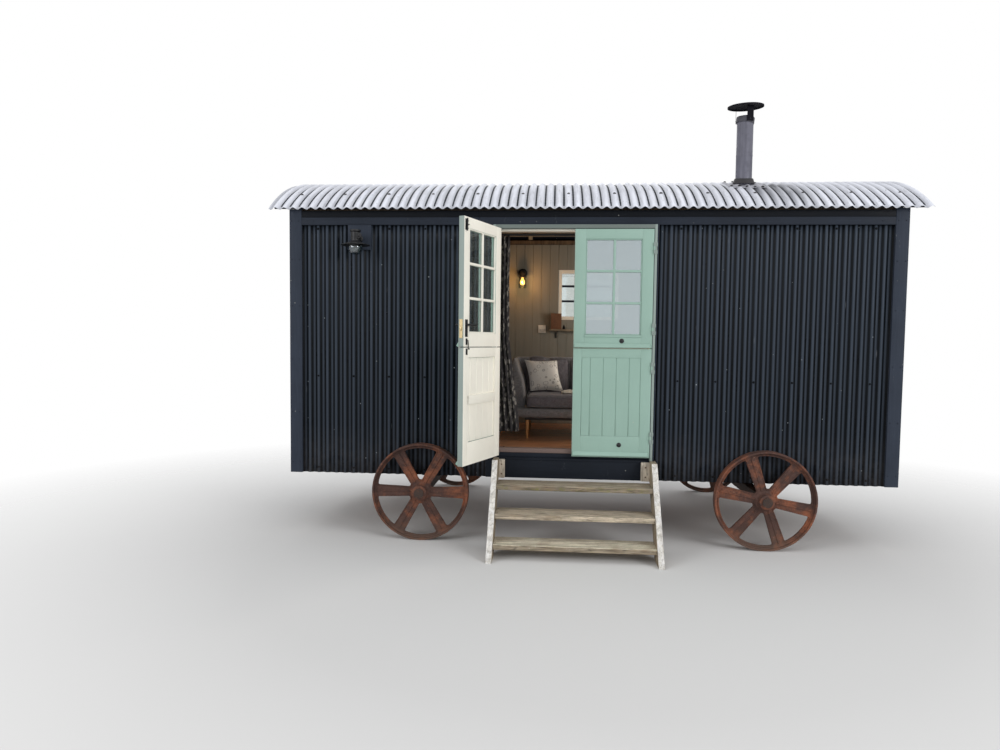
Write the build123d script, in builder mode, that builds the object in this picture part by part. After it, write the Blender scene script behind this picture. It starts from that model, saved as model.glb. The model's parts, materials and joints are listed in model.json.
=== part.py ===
from build123d import *
from math import asin, cos, degrees, pi, radians, sin, sqrt
import os

os.makedirs("parts", exist_ok=True)

# Body, in mm: X runs along the hut, the doors face -Y, the ground is at z = 0
body_length = 5020
body_width = 2130
wall_thickness = 70
cladding_bottom = 530
floor_underside = 735
floor_thickness = 25
joist_depth = 100

# Corrugated sheets
wave_pitch = 76.2
wave_depth = 18
sheet_thickness = 3
sheet_gap = 0.3

# Roof
eave_height = 2756
roof_radius = 1875
eave_overhang = 80
end_overhang = 165
roof_board_thickness = 22
roof_board_setback = 40

# Outside boards
trim_thickness = 22
corner_board_width = 105
fascia_drop = 11
fascia_width = 118

# Doorway and stable doors
doorway_center = -119
leaf_width = 636
leaf_thickness = 44
leaf_bottom = 725
leaf_split = 1620
head_thickness = 32
split_gap = 6
hinge_gap = 5
meeting_gap = 10
leaf_face = 46
open_angle = 111
jamb_width = 34
stop_width = 12
stop_gap = 5
hinge_offset = 8
knuckle_radius = 7
knuckle_height = 30
knuckle_gap = 0.5
pin_radius = 3
pin_clearance = 0.4
hinge_plate = 2.5
hinge_plate_width = 26
stile_width = 91
top_rail = 98
middle_rail = 106
panel_stile = 86
panel_lock_stile = 70
glass_thickness = 6
door_panel_depth = 8
drip_height = 37
drip_depth = 20
sill_thickness = 75
sill_panel_lip = 20
handle_rise = 80
handle_length = 130

# Running gear
wheel_radius = 405
wheel_width = 85
wheel_gap = 35
wheel_spacing = 2820
axle_shift = 40
rim_thickness = 16
rim_web = 10
hub_radius = 62
hub_length = 150
spoke_count = 6
spoke_thickness = 22
spoke_root = 78
spoke_tip = 104
right_wheel_turn = -11
axle_radius = 24
axle_clearance = 0.5
axle_beam = 80
cap_radius = 40
cap_length = 12
chassis_depth = 150
chassis_width = 75
chassis_length = 4600
chassis_track = 1200

# Steps
step_width = 1243
step_shift = 24
stringer_thickness = 46
stringer_run = 240
tread_thickness = 40
tread_depth = 235
tread_rise = 200
tread_going = 150
first_tread_top = 120
step_reach = 670
tread_setback = 4

# Rear window
window_center = 95
window_width = 660
window_drop = 160
window_height = 550
window_frame_width = 38

# Flue
flue_x = 1337
flue_y = 460
flue_radius = 68
flue_wall = 4
flue_height = 866
flue_collar_height = 65
cap_radius_outer = 160
cap_rise = 80
cap_edge = 6
cap_height = 36

# Lantern
lantern_inset = 601
lantern_board_width = 200
lantern_drop = 205
lantern_radius = 118

# Room
sofa_x = -222
sofa_front = 720
sofa_depth = 780
sofa_width = 955
sofa_arm = 155
sofa_arm_top = 70
sofa_arm_setback = 140
seat_top = 415
sofa_base_height = 90
sofa_leg_height = 195
sofa_leg_inset = 185
sofa_back_top = 770
sofa_back_thickness = 190
cushion_size = 320
cushion_thickness = 110
cushion_edge = 30
curtain_left = -900
curtain_right = -560
curtain_bottom = 140
pole_drop = 18
pole_radius = 12
shelf_drop = 105
shelf_left = -330
shelf_right = 450
shelf_depth = 115
lamp_x = -632
lamp_drop = 197
jar_radius = 44
jar_height = 130

# Places worked out from the sizes above
fascia_top = eave_height - fascia_drop
fascia_bottom = fascia_top - fascia_width
leaf_top = fascia_bottom - head_thickness - hinge_gap
light_top = leaf_top - top_rail
light_bottom = leaf_split + split_gap + middle_rail
wheel_reach = wheel_gap + wheel_width / 2 + hub_length / 2 + cap_length + axle_clearance
leaf_turned = radians(open_angle)
leaf_reach = (leaf_width + hinge_gap / 2) * sin(leaf_turned) - (hinge_offset + leaf_thickness) * cos(leaf_turned)
front_reach = max(step_reach + sill_panel_lip, leaf_face + hinge_offset + leaf_reach)
front_y = (front_reach - body_width - wheel_reach) / 2
rear_y = front_y + body_width
middle_y = (front_y + rear_y) / 2
half_length = body_length / 2
lantern_x = -half_length + lantern_inset
wall_in = wave_depth + sheet_gap + wall_thickness
wall_out = wave_depth + sheet_gap
floor_top = floor_underside + floor_thickness
doorway_width = 2 * leaf_width + meeting_gap + 2 * hinge_gap
door_left = doorway_center - doorway_width / 2
door_right = doorway_center + doorway_width / 2
frame_left = door_left - jamb_width
frame_right = door_right + jamb_width
sill_top = leaf_bottom + 50
sill_bottom = sill_top - sill_thickness
roof_half = body_width / 2 + eave_overhang
roof_axis = eave_height - sqrt(roof_radius**2 - roof_half**2)
board_outer = roof_radius - wave_depth / 2 - sheet_gap
board_inner = board_outer - roof_board_thickness
half_out = body_width / 2 - wall_out
wall_top = roof_axis + sqrt(board_inner**2 - half_out**2) - 1
end_inner = half_length - trim_thickness - wall_in
axle_height = wheel_radius
chassis_top = floor_underside - joist_depth
wheel_y = wheel_gap + wheel_width / 2
hinge_y = front_y - leaf_face - hinge_offset


# Each finished sub-part is labelled and written to its own file
def save(part, name):
    part.label = name
    export_step(part, "parts/" + name + ".step")


# A plain block between two corners
def block(low, high, mode=Mode.ADD):
    size = [high[i] - low[i] for i in range(3)]
    with Locations([(low[0], low[1], low[2])]):
        Box(*size, align=(Align.MIN, Align.MIN, Align.MIN), mode=mode)


# An upright round bar or hole
def pillar(x, y, z, radius, height, mode=Mode.ADD):
    with Locations([(x, y, z)]):
        Cylinder(radius, height, align=(Align.CENTER, Align.CENTER, Align.MIN), mode=mode)


# One edge line of a corrugated sheet, half a wave at a time, along the local x axis
def wave_line(start, count, shift):
    half = wave_pitch / 2
    rise = (wave_depth - sheet_thickness) / 2
    for n in range(count):
        x = start + n * half
        side = rise if n % 2 else -rise
        ThreePointArc((x, shift), (x + half / 2, shift + side), (x + half, shift))


# Whole half waves that fit between two corner or door boards
def wave_fit(low, high):
    count = int((high - low) // (wave_pitch / 2))
    spare = high - low - count * wave_pitch / 2
    return low + spare / 2, count * wave_pitch / 2


# The closed section of a corrugated sheet, its middle on the local x axis
def wave_section(low, high):
    start, length = wave_fit(low, high)
    end = start + length
    count = round(length / (wave_pitch / 2))
    with BuildSketch() as section:
        with BuildLine():
            wave_line(start, count, -sheet_thickness / 2)
            wave_line(start, count, sheet_thickness / 2)
            Line((start, -sheet_thickness / 2), (start, sheet_thickness / 2))
            Line((end, -sheet_thickness / 2), (end, sheet_thickness / 2))
        make_face()
    return section.sketch


# Long flat walls, from the skirt to the roof boards
def long_wall(name, left, right, bottom, y_low, y_high):
    with BuildPart() as wall:
        block((left, y_low, bottom), (right, y_high, wall_top))
    save(wall.part, name)


wall_end = half_length - trim_thickness - wall_out
front_wall_low = front_y + wall_out
front_wall_high = front_y + wall_in
long_wall("front_wall_left", -wall_end, frame_left, cladding_bottom, front_wall_low, front_wall_high)
long_wall("front_wall_right", frame_right, wall_end, cladding_bottom, front_wall_low, front_wall_high)
long_wall("front_wall_head", frame_left, frame_right, fascia_bottom, front_wall_low, front_wall_high)

# Rear wall with its window opening
window_left = window_center - window_width / 2
window_right = window_center + window_width / 2
window_top = fascia_bottom - window_drop
window_bottom = window_top - window_height
with BuildPart() as rear_wall:
    block((-wall_end, rear_y - wall_in, cladding_bottom), (wall_end, rear_y - wall_out, wall_top))
    block(
        (window_left, rear_y - wall_in, window_bottom),
        (window_right, rear_y - wall_out, window_top),
        Mode.SUBTRACT,
    )
save(rear_wall.part, "rear_wall")


# Gable walls under the curved roof
gable_half = body_width / 2 - wall_in
gable_radius = board_inner - sheet_gap
gable_shoulder = roof_axis + sqrt(gable_radius**2 - gable_half**2)
for side, name in ((-1, "end_wall_left"), (1, "end_wall_right")):
    x_face = side * end_inner
    with BuildPart() as gable:
        with BuildSketch(Plane.YZ.offset(x_face)):
            with BuildLine():
                Polyline(
                    (middle_y - gable_half, gable_shoulder),
                    (middle_y - gable_half, cladding_bottom),
                    (middle_y + gable_half, cladding_bottom),
                    (middle_y + gable_half, gable_shoulder),
                )
                ThreePointArc(
                    (middle_y + gable_half, gable_shoulder),
                    (middle_y, roof_axis + gable_radius),
                    (middle_y - gable_half, gable_shoulder),
                )
            make_face()
        extrude(amount=side * wall_thickness)
    save(gable.part, name)

# Corrugated cladding on the long sides
cladding_top = fascia_top - 40
front_sheet_y = front_y + wave_depth / 2
rear_sheet_y = rear_y - wave_depth / 2
inner_board = half_length - corner_board_width + 40


def flat_cladding(name, left, right, y, opening=None):
    section = wave_section(left, right)
    with BuildPart() as sheet:
        with BuildSketch(Plane((0, y, cladding_bottom))):
            add(section)
        extrude(amount=cladding_top - cladding_bottom)
        if opening:
            x_low, x_high, z_low, z_high = opening
            block((x_low, y - wave_depth, z_low), (x_high, y + wave_depth, z_high), Mode.SUBTRACT)
    save(sheet.part, name)


flat_cladding("front_cladding_left", -inner_board, frame_left - 1, front_sheet_y)
flat_cladding("front_cladding_right", frame_right + 1, inner_board, front_sheet_y)
flat_cladding(
    "rear_cladding",
    -inner_board,
    inner_board,
    rear_sheet_y,
    (window_left - 1, window_right + 1, window_bottom - 1, window_top + 1),
)

# Corrugated cladding on the gables, cut to the roof's curve
end_half = body_width / 2 - trim_thickness - 30
end_section = wave_section(middle_y - end_half, middle_y + end_half)
for side, name in ((-1, "end_cladding_left"), (1, "end_cladding_right")):
    x_sheet = side * (half_length - trim_thickness - wave_depth / 2)
    with BuildPart() as sheet:
        with BuildSketch(Plane((x_sheet, 0, cladding_bottom), x_dir=(0, 1, 0), z_dir=(0, 0, 1))):
            add(end_section)
        extrude(amount=roof_axis + board_inner - cladding_bottom)
        with BuildSketch(Plane.YZ.offset(x_sheet)):
            with Locations([(middle_y, roof_axis)]):
                Circle(board_inner - sheet_gap)
        extrude(amount=wave_depth, both=True, mode=Mode.INTERSECT)
    save(sheet.part, name)


# Corner boards, an angle of two flat boards at each corner
board_top = roof_axis + sqrt(board_inner**2 - (body_width / 2 + trim_thickness) ** 2) - 1
for x_side, x_name in ((-1, "left"), (1, "right")):
    for y_side, y_name in ((-1, "front"), (1, "rear")):
        face = middle_y + y_side * body_width / 2
        x_out = x_side * half_length
        with BuildPart() as corner:
            with BuildSketch(Plane.XY.offset(cladding_bottom)):
                with BuildLine():
                    y_out = face + y_side * trim_thickness
                    x_in = x_side * (half_length - corner_board_width)
                    x_back = x_side * (half_length - trim_thickness + sheet_gap)
                    y_in = face - y_side * (corner_board_width - trim_thickness)
                    y_face = face + y_side * sheet_gap
                    Polyline(
                        (x_out, y_out),
                        (x_in, y_out),
                        (x_in, y_face),
                        (x_back, y_face),
                        (x_back, y_in),
                        (x_out, y_in),
                        close=True,
                    )
                make_face()
            extrude(amount=board_top - cladding_bottom)
        save(corner.part, "corner_board_" + y_name + "_" + x_name)

# Fascia boards under the eaves, between the corner boards
fascia_half = half_length - corner_board_width
for y_side, name in ((-1, "front_fascia"), (1, "rear_fascia")):
    face = middle_y + y_side * body_width / 2
    near = face + y_side * sheet_gap
    far = face + y_side * trim_thickness
    with BuildPart() as fascia:
        block((-fascia_half, min(near, far), fascia_bottom), (fascia_half, max(near, far), fascia_top))
    save(fascia.part, name)

# Roof boards, a shell bent over the walls
roof_end = half_length + end_overhang
board_half = body_width / 2 + trim_thickness + 15
board_angle = degrees(asin(board_half / board_outer))
roof_axis_line = Axis((0, middle_y, roof_axis), (1, 0, 0))
with BuildPart() as roof_boards:
    with BuildSketch(Plane.XZ.offset(-middle_y)):
        with Locations([(0, roof_axis + board_inner)]):
            Rectangle(
                2 * (roof_end - roof_board_setback),
                board_outer - board_inner,
                align=(Align.CENTER, Align.MIN),
            )
    revolve(axis=roof_axis_line, revolution_arc=2 * board_angle)
boards = roof_boards.part.rotate(roof_axis_line, -board_angle)
save(boards, "roof_boards")

# Corrugated roof sheet, its waves bent to the same curve
sheet_angle = degrees(asin(roof_half / roof_radius))
roof_section = wave_section(-roof_end, roof_end)
with BuildPart() as roof_sheet:
    with BuildSketch(Plane((0, middle_y, roof_axis + roof_radius), x_dir=(1, 0, 0), z_dir=(0, -1, 0))):
        add(roof_section)
    revolve(axis=roof_axis_line, revolution_arc=2 * sheet_angle)
save(roof_sheet.part.rotate(roof_axis_line, -sheet_angle), "roof_sheet")

# Floor frame of joists and the boarded floor on it
joist_width = 50
joist_spacing = 600
frame_half = end_inner
frame_low = front_wall_high
frame_high = rear_y - wall_in
joist_count = int(2 * frame_half // joist_spacing)
with BuildPart() as floor_frame:
    block((-frame_half, frame_low, chassis_top), (frame_half, frame_high, floor_underside))
    bay = (2 * frame_half - joist_width) / joist_count
    for n in range(joist_count):
        x_low = -frame_half + joist_width + n * bay
        block(
            (x_low, frame_low + joist_width, chassis_top),
            (x_low + bay - joist_width, frame_high - joist_width, floor_underside),
            Mode.SUBTRACT,
        )
save(floor_frame.part, "floor_frame")

with BuildPart() as floor_boards:
    block((-frame_half, frame_low, floor_underside), (frame_half, frame_high, floor_top))
save(floor_boards.part, "floor_boards")

# Chassis frame of two rails and four cross members
chassis_half = chassis_length / 2
chassis_bottom = chassis_top - chassis_depth
with BuildPart() as chassis:
    for y_side in (-1, 1):
        y_rail = middle_y + y_side * chassis_track / 2
        block(
            (-chassis_half, y_rail - chassis_width / 2, chassis_bottom),
            (chassis_half, y_rail + chassis_width / 2, chassis_top),
        )
    cross_spacing = (chassis_length - chassis_width) / 3
    for n in range(4):
        x_low = -chassis_half + n * cross_spacing
        block(
            (x_low, middle_y - chassis_track / 2, chassis_bottom),
            (x_low + chassis_width, middle_y + chassis_track / 2, chassis_top),
        )
save(chassis.part, "chassis_frame")

# Axles with their bolsters, stub shafts and end caps
hub_inner = body_width / 2 + wheel_y - hub_length / 2
hub_outer = hub_inner + hub_length
beam_half = hub_inner - axle_clearance
for side, name in ((-1, "left_axle"), (1, "right_axle")):
    x = axle_shift + side * wheel_spacing / 2
    with BuildPart() as axle:
        block(
            (x - axle_beam / 2, middle_y - beam_half, axle_height - axle_beam / 2),
            (x + axle_beam / 2, middle_y + beam_half, axle_height + axle_beam / 2),
        )
        for y_side in (-1, 1):
            y_rail = middle_y + y_side * chassis_track / 2
            block(
                (x - axle_beam, y_rail - chassis_width / 2, axle_height + axle_beam / 2),
                (x + axle_beam, y_rail + chassis_width / 2, chassis_bottom),
            )
        shaft_half = hub_outer + axle_clearance + cap_length
        with BuildSketch(Plane.XZ.offset(-middle_y)):
            with Locations([(x, axle_height)]):
                Circle(axle_radius)
        extrude(amount=shaft_half, both=True)
        for y_side in (-1, 1):
            cap_start = middle_y + y_side * (hub_outer + axle_clearance)
            with BuildSketch(Plane.XZ.offset(-cap_start)):
                with Locations([(x, axle_height)]):
                    Circle(cap_radius)
            extrude(amount=-y_side * cap_length)
    save(axle.part, name)

# Cast wheels, a flanged rim on flared flat spokes
spoke_outer = wheel_radius - rim_thickness / 2
wheel_turn = {"left": 0, "right": right_wheel_turn}
for x_side, x_name in ((-1, "left"), (1, "right")):
    for y_side, y_name in ((-1, "front"), (1, "rear")):
        x = axle_shift + x_side * wheel_spacing / 2
        y = middle_y + y_side * (body_width / 2 + wheel_y)
        with BuildPart() as wheel:
            with BuildSketch(Plane.XZ.offset(-y)):
                with Locations([(x, axle_height)]):
                    Circle(wheel_radius)
                    Circle(wheel_radius - rim_thickness, mode=Mode.SUBTRACT)
            extrude(amount=wheel_width / 2, both=True)
            with BuildSketch(Plane.XZ.offset(-y)):
                with Locations([(x, axle_height)]):
                    Circle(wheel_radius - rim_thickness / 2)
                    Circle(wheel_radius - rim_thickness - 22, mode=Mode.SUBTRACT)
            extrude(amount=rim_web / 2, both=True)
            with BuildSketch(Plane.XZ.offset(-y)):
                for n in range(spoke_count):
                    turn = 2 * pi * n / spoke_count + radians(wheel_turn[x_name])
                    along = Vector(cos(turn), sin(turn))
                    across = Vector(-sin(turn), cos(turn))
                    center = Vector(x, axle_height)
                    with BuildLine():
                        Polyline(
                            center + along * 20 + across * spoke_root / 2,
                            center + along * spoke_outer * 0.55 + across * spoke_root * 0.36,
                            center + along * spoke_outer + across * spoke_tip / 2,
                            center + along * spoke_outer - across * spoke_tip / 2,
                            center + along * spoke_outer * 0.55 - across * spoke_root * 0.36,
                            center + along * 20 - across * spoke_root / 2,
                            close=True,
                        )
                    make_face()
            extrude(amount=spoke_thickness / 2, both=True)
            with BuildSketch(Plane.XZ.offset(-y)):
                with Locations([(x, axle_height)]):
                    Circle(hub_radius)
            extrude(amount=hub_length / 2, both=True)
            with BuildSketch(Plane.XZ.offset(-y)):
                with Locations([(x, axle_height)]):
                    Circle(axle_radius + axle_clearance)
            extrude(amount=hub_length, both=True, mode=Mode.SUBTRACT)
        save(wheel.part, "wheel_" + y_name + "_" + x_name)

# Beam under the doorway, its front lapping over the cladding
with BuildPart() as sill_panel:
    block((frame_left, front_y - sheet_gap, cladding_bottom), (frame_right, front_wall_high, sill_bottom))
    block(
        (frame_left - 30, front_y - sill_panel_lip, cladding_bottom),
        (frame_right + 30, front_y - sheet_gap, sill_bottom),
    )
save(sill_panel.part, "sill_panel")

# Door sill behind the leaves
leaf_back = front_y - leaf_face + leaf_thickness
with BuildPart() as door_sill:
    block((door_left, leaf_back + stop_gap, sill_bottom), (door_right, front_wall_high, sill_top))
save(door_sill.part, "door_sill")

# Heights of the hinges on a lower and an upper half
lower_hinges = (leaf_bottom + 120, leaf_split - 200)
upper_hinges = (leaf_split + split_gap + 110, leaf_top - 200)
hinge_heights = lower_hinges + upper_hinges
hinge_x = {-1: door_left + hinge_gap / 2, 1: door_right - hinge_gap / 2}

# Door frame with its stops and the fixed knuckles of the hinges
head_bottom = leaf_top + hinge_gap
with BuildPart() as door_frame:
    block((frame_left, front_y - leaf_face, sill_bottom), (frame_right, front_wall_high, fascia_bottom))
    block(
        (door_left, front_y - leaf_face - 1, sill_bottom - 1),
        (door_right, front_wall_high + 1, head_bottom),
        Mode.SUBTRACT,
    )
    stop_low = leaf_back + stop_gap
    for x_low in (door_left, door_right - stop_width):
        block((x_low, stop_low, sill_top), (x_low + stop_width, front_wall_high, head_bottom))
    block((door_left, stop_low, head_bottom - stop_width), (door_right, front_wall_high, head_bottom))
    for side, x in hinge_x.items():
        for z in hinge_heights:
            for z_knuckle in (z, z + 2 * knuckle_height):
                pillar(x, hinge_y, z_knuckle, knuckle_radius, knuckle_height)
                block(
                    (min(x, x + side * hinge_plate_width), hinge_y + hinge_offset - hinge_plate, z_knuckle),
                    (max(x, x + side * hinge_plate_width), hinge_y + hinge_offset, z_knuckle + knuckle_height),
                )
            pillar(x, hinge_y, z, pin_radius, 3 * knuckle_height)
save(door_frame.part, "door_frame")


# The left leaf stands open and the right one is shut
leaf_turn = {-1: open_angle, 1: 0}
light_left = stile_width
light_right = leaf_width - stile_width


# Leaves are made shut about the hinge of the right one or the left one, then turned to their pose
def leaf_block(side, low, high, mode=Mode.ADD):
    u = sorted((-side * (low[0] + hinge_gap / 2), -side * (high[0] + hinge_gap / 2)))
    x = hinge_x[side]
    y = front_y - leaf_face
    block((x + u[0], y + low[1], low[2]), (x + u[1], y + high[1], high[2]), mode)


def leaf_knuckles(side, heights):
    x = hinge_x[side]
    for z in heights:
        z_low = z + knuckle_height + knuckle_gap
        height = knuckle_height - 2 * knuckle_gap
        pillar(x, hinge_y, z_low, knuckle_radius, height)
        inner = x - side * hinge_plate_width
        plate_y = hinge_y + hinge_offset
        block((min(x, inner), plate_y - hinge_plate, z_low), (max(x, inner), plate_y, z_low + height))
        pillar(x, hinge_y, z_low, pin_radius + pin_clearance, height, Mode.SUBTRACT)


def posed(part, side):
    return part.rotate(Axis((hinge_x[side], hinge_y, 0), (0, 0, 1)), leaf_turn[side] * side)


panel_left = panel_stile
panel_right = leaf_width - panel_lock_stile
panel_bottom = leaf_bottom + 175
panel_top = leaf_split - 75
rail_middle = (panel_bottom + panel_top) / 2
for side, name in ((-1, "left"), (1, "right")):
    with BuildPart() as lower:
        leaf_block(side, (0, 0, leaf_bottom), (leaf_width, leaf_thickness, leaf_split))
        leaf_block(side, (panel_left, 0, panel_bottom), (panel_right, door_panel_depth, panel_top), Mode.SUBTRACT)
        for z_low, z_high in ((panel_bottom, rail_middle - 35), (rail_middle + 35, panel_top)):
            leaf_block(
                side,
                (stile_width, leaf_thickness - door_panel_depth, z_low),
                (leaf_width - stile_width, leaf_thickness, z_high),
                Mode.SUBTRACT,
            )
        leaf_block(side, (15, -drip_depth, leaf_bottom + 8), (leaf_width - 8, 0, leaf_bottom + 8 + drip_height))
        leaf_knuckles(side, lower_hinges)
    save(posed(lower.part, side), name + "_lower_door")

    upper_bottom = leaf_split + split_gap
    with BuildPart() as upper:
        leaf_block(side, (0, 0, upper_bottom), (leaf_width, leaf_thickness, leaf_top))
        leaf_block(
            side,
            (light_left, 0, light_bottom),
            (light_right, leaf_thickness, light_top),
            Mode.SUBTRACT,
        )
        leaf_block(side, (15, -drip_depth, upper_bottom), (leaf_width - 8, 0, upper_bottom + drip_height))
        leaf_knuckles(side, upper_hinges)
    save(posed(upper.part, side), name + "_upper_door")

    with BuildPart() as glass:
        middle = leaf_thickness / 2
        leaf_block(
            side,
            (light_left, middle - glass_thickness / 2, light_bottom),
            (light_right, middle + glass_thickness / 2, light_top),
        )
    save(posed(glass.part, side), name + "_door_glass")

# Lever handle on the inside of the left leaf
with BuildPart() as handle:
    plate_u = leaf_width - 62
    plate_low = leaf_split + handle_rise
    plate_high = plate_low + handle_length
    lever_low = plate_high - 45
    leaf_block(-1, (plate_u, leaf_thickness, plate_low), (plate_u + 40, leaf_thickness + 5, plate_high))
    leaf_block(
        -1,
        (plate_u + 12, leaf_thickness + 5, lever_low),
        (plate_u + 28, leaf_thickness + 42, lever_low + 16),
    )
    leaf_block(
        -1,
        (plate_u - 82, leaf_thickness + 30, lever_low),
        (plate_u + 28, leaf_thickness + 42, lever_low + 16),
    )
save(posed(handle.part, -1), "door_handle")

# Steps
step_face = front_y - sill_panel_lip
step_left = doorway_center + step_shift - step_width / 2
step_right = step_left + step_width
slope = tread_going / tread_rise
stringer_foot = step_face - step_reach
stringer_top = sill_bottom
back_meet = (step_reach - stringer_run) / slope
for name, x_low in (("left_stringer", step_left - stringer_thickness), ("right_stringer", step_right)):
    with BuildPart() as stringer:
        with BuildSketch(Plane.YZ.offset(x_low)):
            with BuildLine():
                Polyline(
                    (stringer_foot, 0),
                    (stringer_foot + stringer_run, 0),
                    (step_face, back_meet),
                    (step_face, stringer_top),
                    (stringer_foot + stringer_top * slope, stringer_top),
                    close=True,
                )
            make_face()
        extrude(amount=stringer_thickness)
    save(stringer.part, name)

for n, name in enumerate(("tread_bottom", "tread_middle", "tread_top")):
    top = first_tread_top + n * tread_rise
    nose = stringer_foot + top * slope + tread_setback
    with BuildPart() as tread:
        block((step_left, nose, top - tread_thickness), (step_right, nose + tread_depth, top))
    save(tread.part, name)

# Rear window frame and its glass
with BuildPart() as window_frame:
    block((window_left, rear_y - wall_in, window_bottom), (window_right, rear_y + 4, window_top))
    block(
        (window_left + window_frame_width, rear_y - wall_in, window_bottom + window_frame_width),
        (window_right - window_frame_width, rear_y + 4, window_top - window_frame_width),
        Mode.SUBTRACT,
    )
save(window_frame.part, "rear_window_frame")

with BuildPart() as window_glass:
    glass_y = rear_y - 45
    block(
        (window_left + window_frame_width, glass_y, window_bottom + window_frame_width),
        (window_right - window_frame_width, glass_y + glass_thickness, window_top - window_frame_width),
    )
save(window_glass.part, "rear_window_glass")

# Flue pipe standing on the roof sheet, with its top collar
flue_top = eave_height + flue_height
flue_center = (flue_x, front_y + flue_y)
with BuildPart() as flue:
    with BuildSketch(Plane.XY.offset(eave_height)):
        with Locations([flue_center]):
            Circle(flue_radius)
    extrude(amount=flue_top - eave_height)
    with BuildSketch(Plane.XY.offset(flue_top - flue_collar_height)):
        with Locations([flue_center]):
            Circle(flue_radius + 8)
    extrude(amount=flue_collar_height)
    with BuildSketch(Plane.XY.offset(eave_height)):
        with Locations([flue_center]):
            Circle(flue_radius - flue_wall)
    extrude(amount=flue_top - eave_height, mode=Mode.SUBTRACT)
    with BuildSketch(Plane.YZ.offset(flue_x)):
        with Locations([(middle_y, roof_axis)]):
            Circle(roof_radius + wave_depth / 2 + sheet_gap)
    extrude(amount=2 * flue_radius, both=True, mode=Mode.SUBTRACT)
save(flue.part, "flue_pipe")

# Rain cap on three straps
with BuildPart() as rain_cap:
    with BuildSketch(Plane.XZ.offset(-flue_center[1])):
        with BuildLine():
            Polyline(
                (flue_x, flue_top + cap_rise),
                (flue_x + cap_radius_outer, flue_top + cap_rise),
                (flue_x + cap_radius_outer, flue_top + cap_rise + cap_edge),
                (flue_x + 20, flue_top + cap_rise + cap_height),
                (flue_x, flue_top + cap_rise + cap_height),
                close=True,
            )
        make_face()
    revolve(axis=Axis((flue_x, flue_center[1], 0), (0, 0, 1)))
    for n in range(3):
        turn = 2 * pi * n / 3 + 0.4
        with BuildSketch(Plane.XY.offset(flue_top)):
            with Locations([(flue_x + flue_radius * cos(turn), front_y + flue_y + flue_radius * sin(turn))]):
                Rectangle(8, 8)
        extrude(amount=cap_rise + 2)
save(rain_cap.part, "flue_cap")

# Wall lantern on its board
lantern_board_bottom = fascia_bottom - lantern_drop
with BuildPart() as lantern_board:
    block(
        (lantern_x - lantern_board_width / 2, front_y - trim_thickness, lantern_board_bottom),
        (lantern_x + lantern_board_width / 2, front_y - sheet_gap, fascia_bottom - 1),
    )
save(lantern_board.part, "lantern_board")

lantern_y = front_y - trim_thickness - lantern_radius - 4
brim_height = lantern_board_bottom + 25
with BuildPart() as lantern:
    with BuildSketch(Plane.XZ.offset(-(lantern_y))):
        with BuildLine():
            Polyline(
                (lantern_x, brim_height - 82),
                (lantern_x + 45, brim_height - 72),
                (lantern_x + 58, brim_height - 40),
                (lantern_x + 60, brim_height),
                (lantern_x + lantern_radius, brim_height - 6),
                (lantern_x + lantern_radius, brim_height),
                (lantern_x + 62, brim_height + 16),
                (lantern_x + 40, brim_height + 28),
                (lantern_x + 36, brim_height + 95),
                (lantern_x + 44, brim_height + 105),
                (lantern_x + 44, brim_height + 118),
                (lantern_x, brim_height + 124),
                close=True,
            )
        make_face()
    revolve(axis=Axis((lantern_x, lantern_y, 0), (0, 0, 1)))
    block(
        (lantern_x - 22, lantern_y, brim_height + 50),
        (lantern_x + 22, front_y - trim_thickness, brim_height + 90),
    )
save(lantern.part, "wall_lantern")

# Sofa: frame with its arms, loose seat and back, and legs
sofa_left = sofa_x - sofa_width / 2
sofa_right = sofa_x + sofa_width / 2
sofa_low = front_y + sofa_front
sofa_high = sofa_low + sofa_depth
base_bottom = floor_top + sofa_leg_height
base_top = base_bottom + sofa_base_height
seat_level = floor_top + seat_top
back_level = floor_top + sofa_back_top
arm_front = sofa_low + sofa_arm_setback
arms = []
for x_out, side in ((sofa_left, 1), (sofa_right, -1)):
    with BuildPart() as arm:
        with BuildSketch(Plane.XZ.offset(-sofa_high)):
            with BuildLine():
                Polyline(
                    (x_out + side * 30, base_bottom),
                    (x_out, seat_level),
                    (x_out + side * 12, back_level - 60),
                    (x_out + side * 40, back_level - 15),
                    (x_out + side * sofa_arm_top, back_level - 60),
                    (x_out + side * (sofa_arm - 20), seat_level + 120),
                    (x_out + side * sofa_arm, seat_level),
                    (x_out + side * sofa_arm, base_bottom),
                    close=True,
                )
            make_face()
        extrude(amount=sofa_high - arm_front)
        with BuildSketch(Plane.YZ.offset(x_out - side * 5)):
            with BuildLine():
                Polyline(
                    (arm_front, base_bottom - 1),
                    (arm_front, seat_level + 60),
                    (arm_front + 90, seat_level + 260),
                    (arm_front + 240, back_level + 5),
                    (sofa_high + 1, back_level + 5),
                    (sofa_high + 1, base_bottom - 1),
                    close=True,
                )
            make_face()
        extrude(amount=side * (sofa_arm + 10), mode=Mode.INTERSECT)
    arms.append(arm.part)

with BuildPart() as sofa_frame:
    block((sofa_left + 70, sofa_low, base_bottom), (sofa_right - 70, sofa_high, base_top))
    block((sofa_left + 20, sofa_high - 60, base_bottom), (sofa_right - 20, sofa_high, back_level - 15))
    for shape in arms:
        add(shape)
save(sofa_frame.part, "sofa_frame")

soft_gap = 0.3
back_front = sofa_high - 60 - sofa_back_thickness
with BuildPart() as sofa_seat:
    block(
        (sofa_left + 80, sofa_low - 10, base_top + soft_gap),
        (sofa_right - 80, arm_front - soft_gap, seat_level),
    )
    fillet(sofa_seat.edges().filter_by(Axis.X), 25)
    block(
        (sofa_left + sofa_arm + soft_gap, arm_front - 40, base_top + soft_gap),
        (sofa_right - sofa_arm - soft_gap, back_front - soft_gap, seat_level),
    )
save(sofa_seat.part, "sofa_seat")

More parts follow.
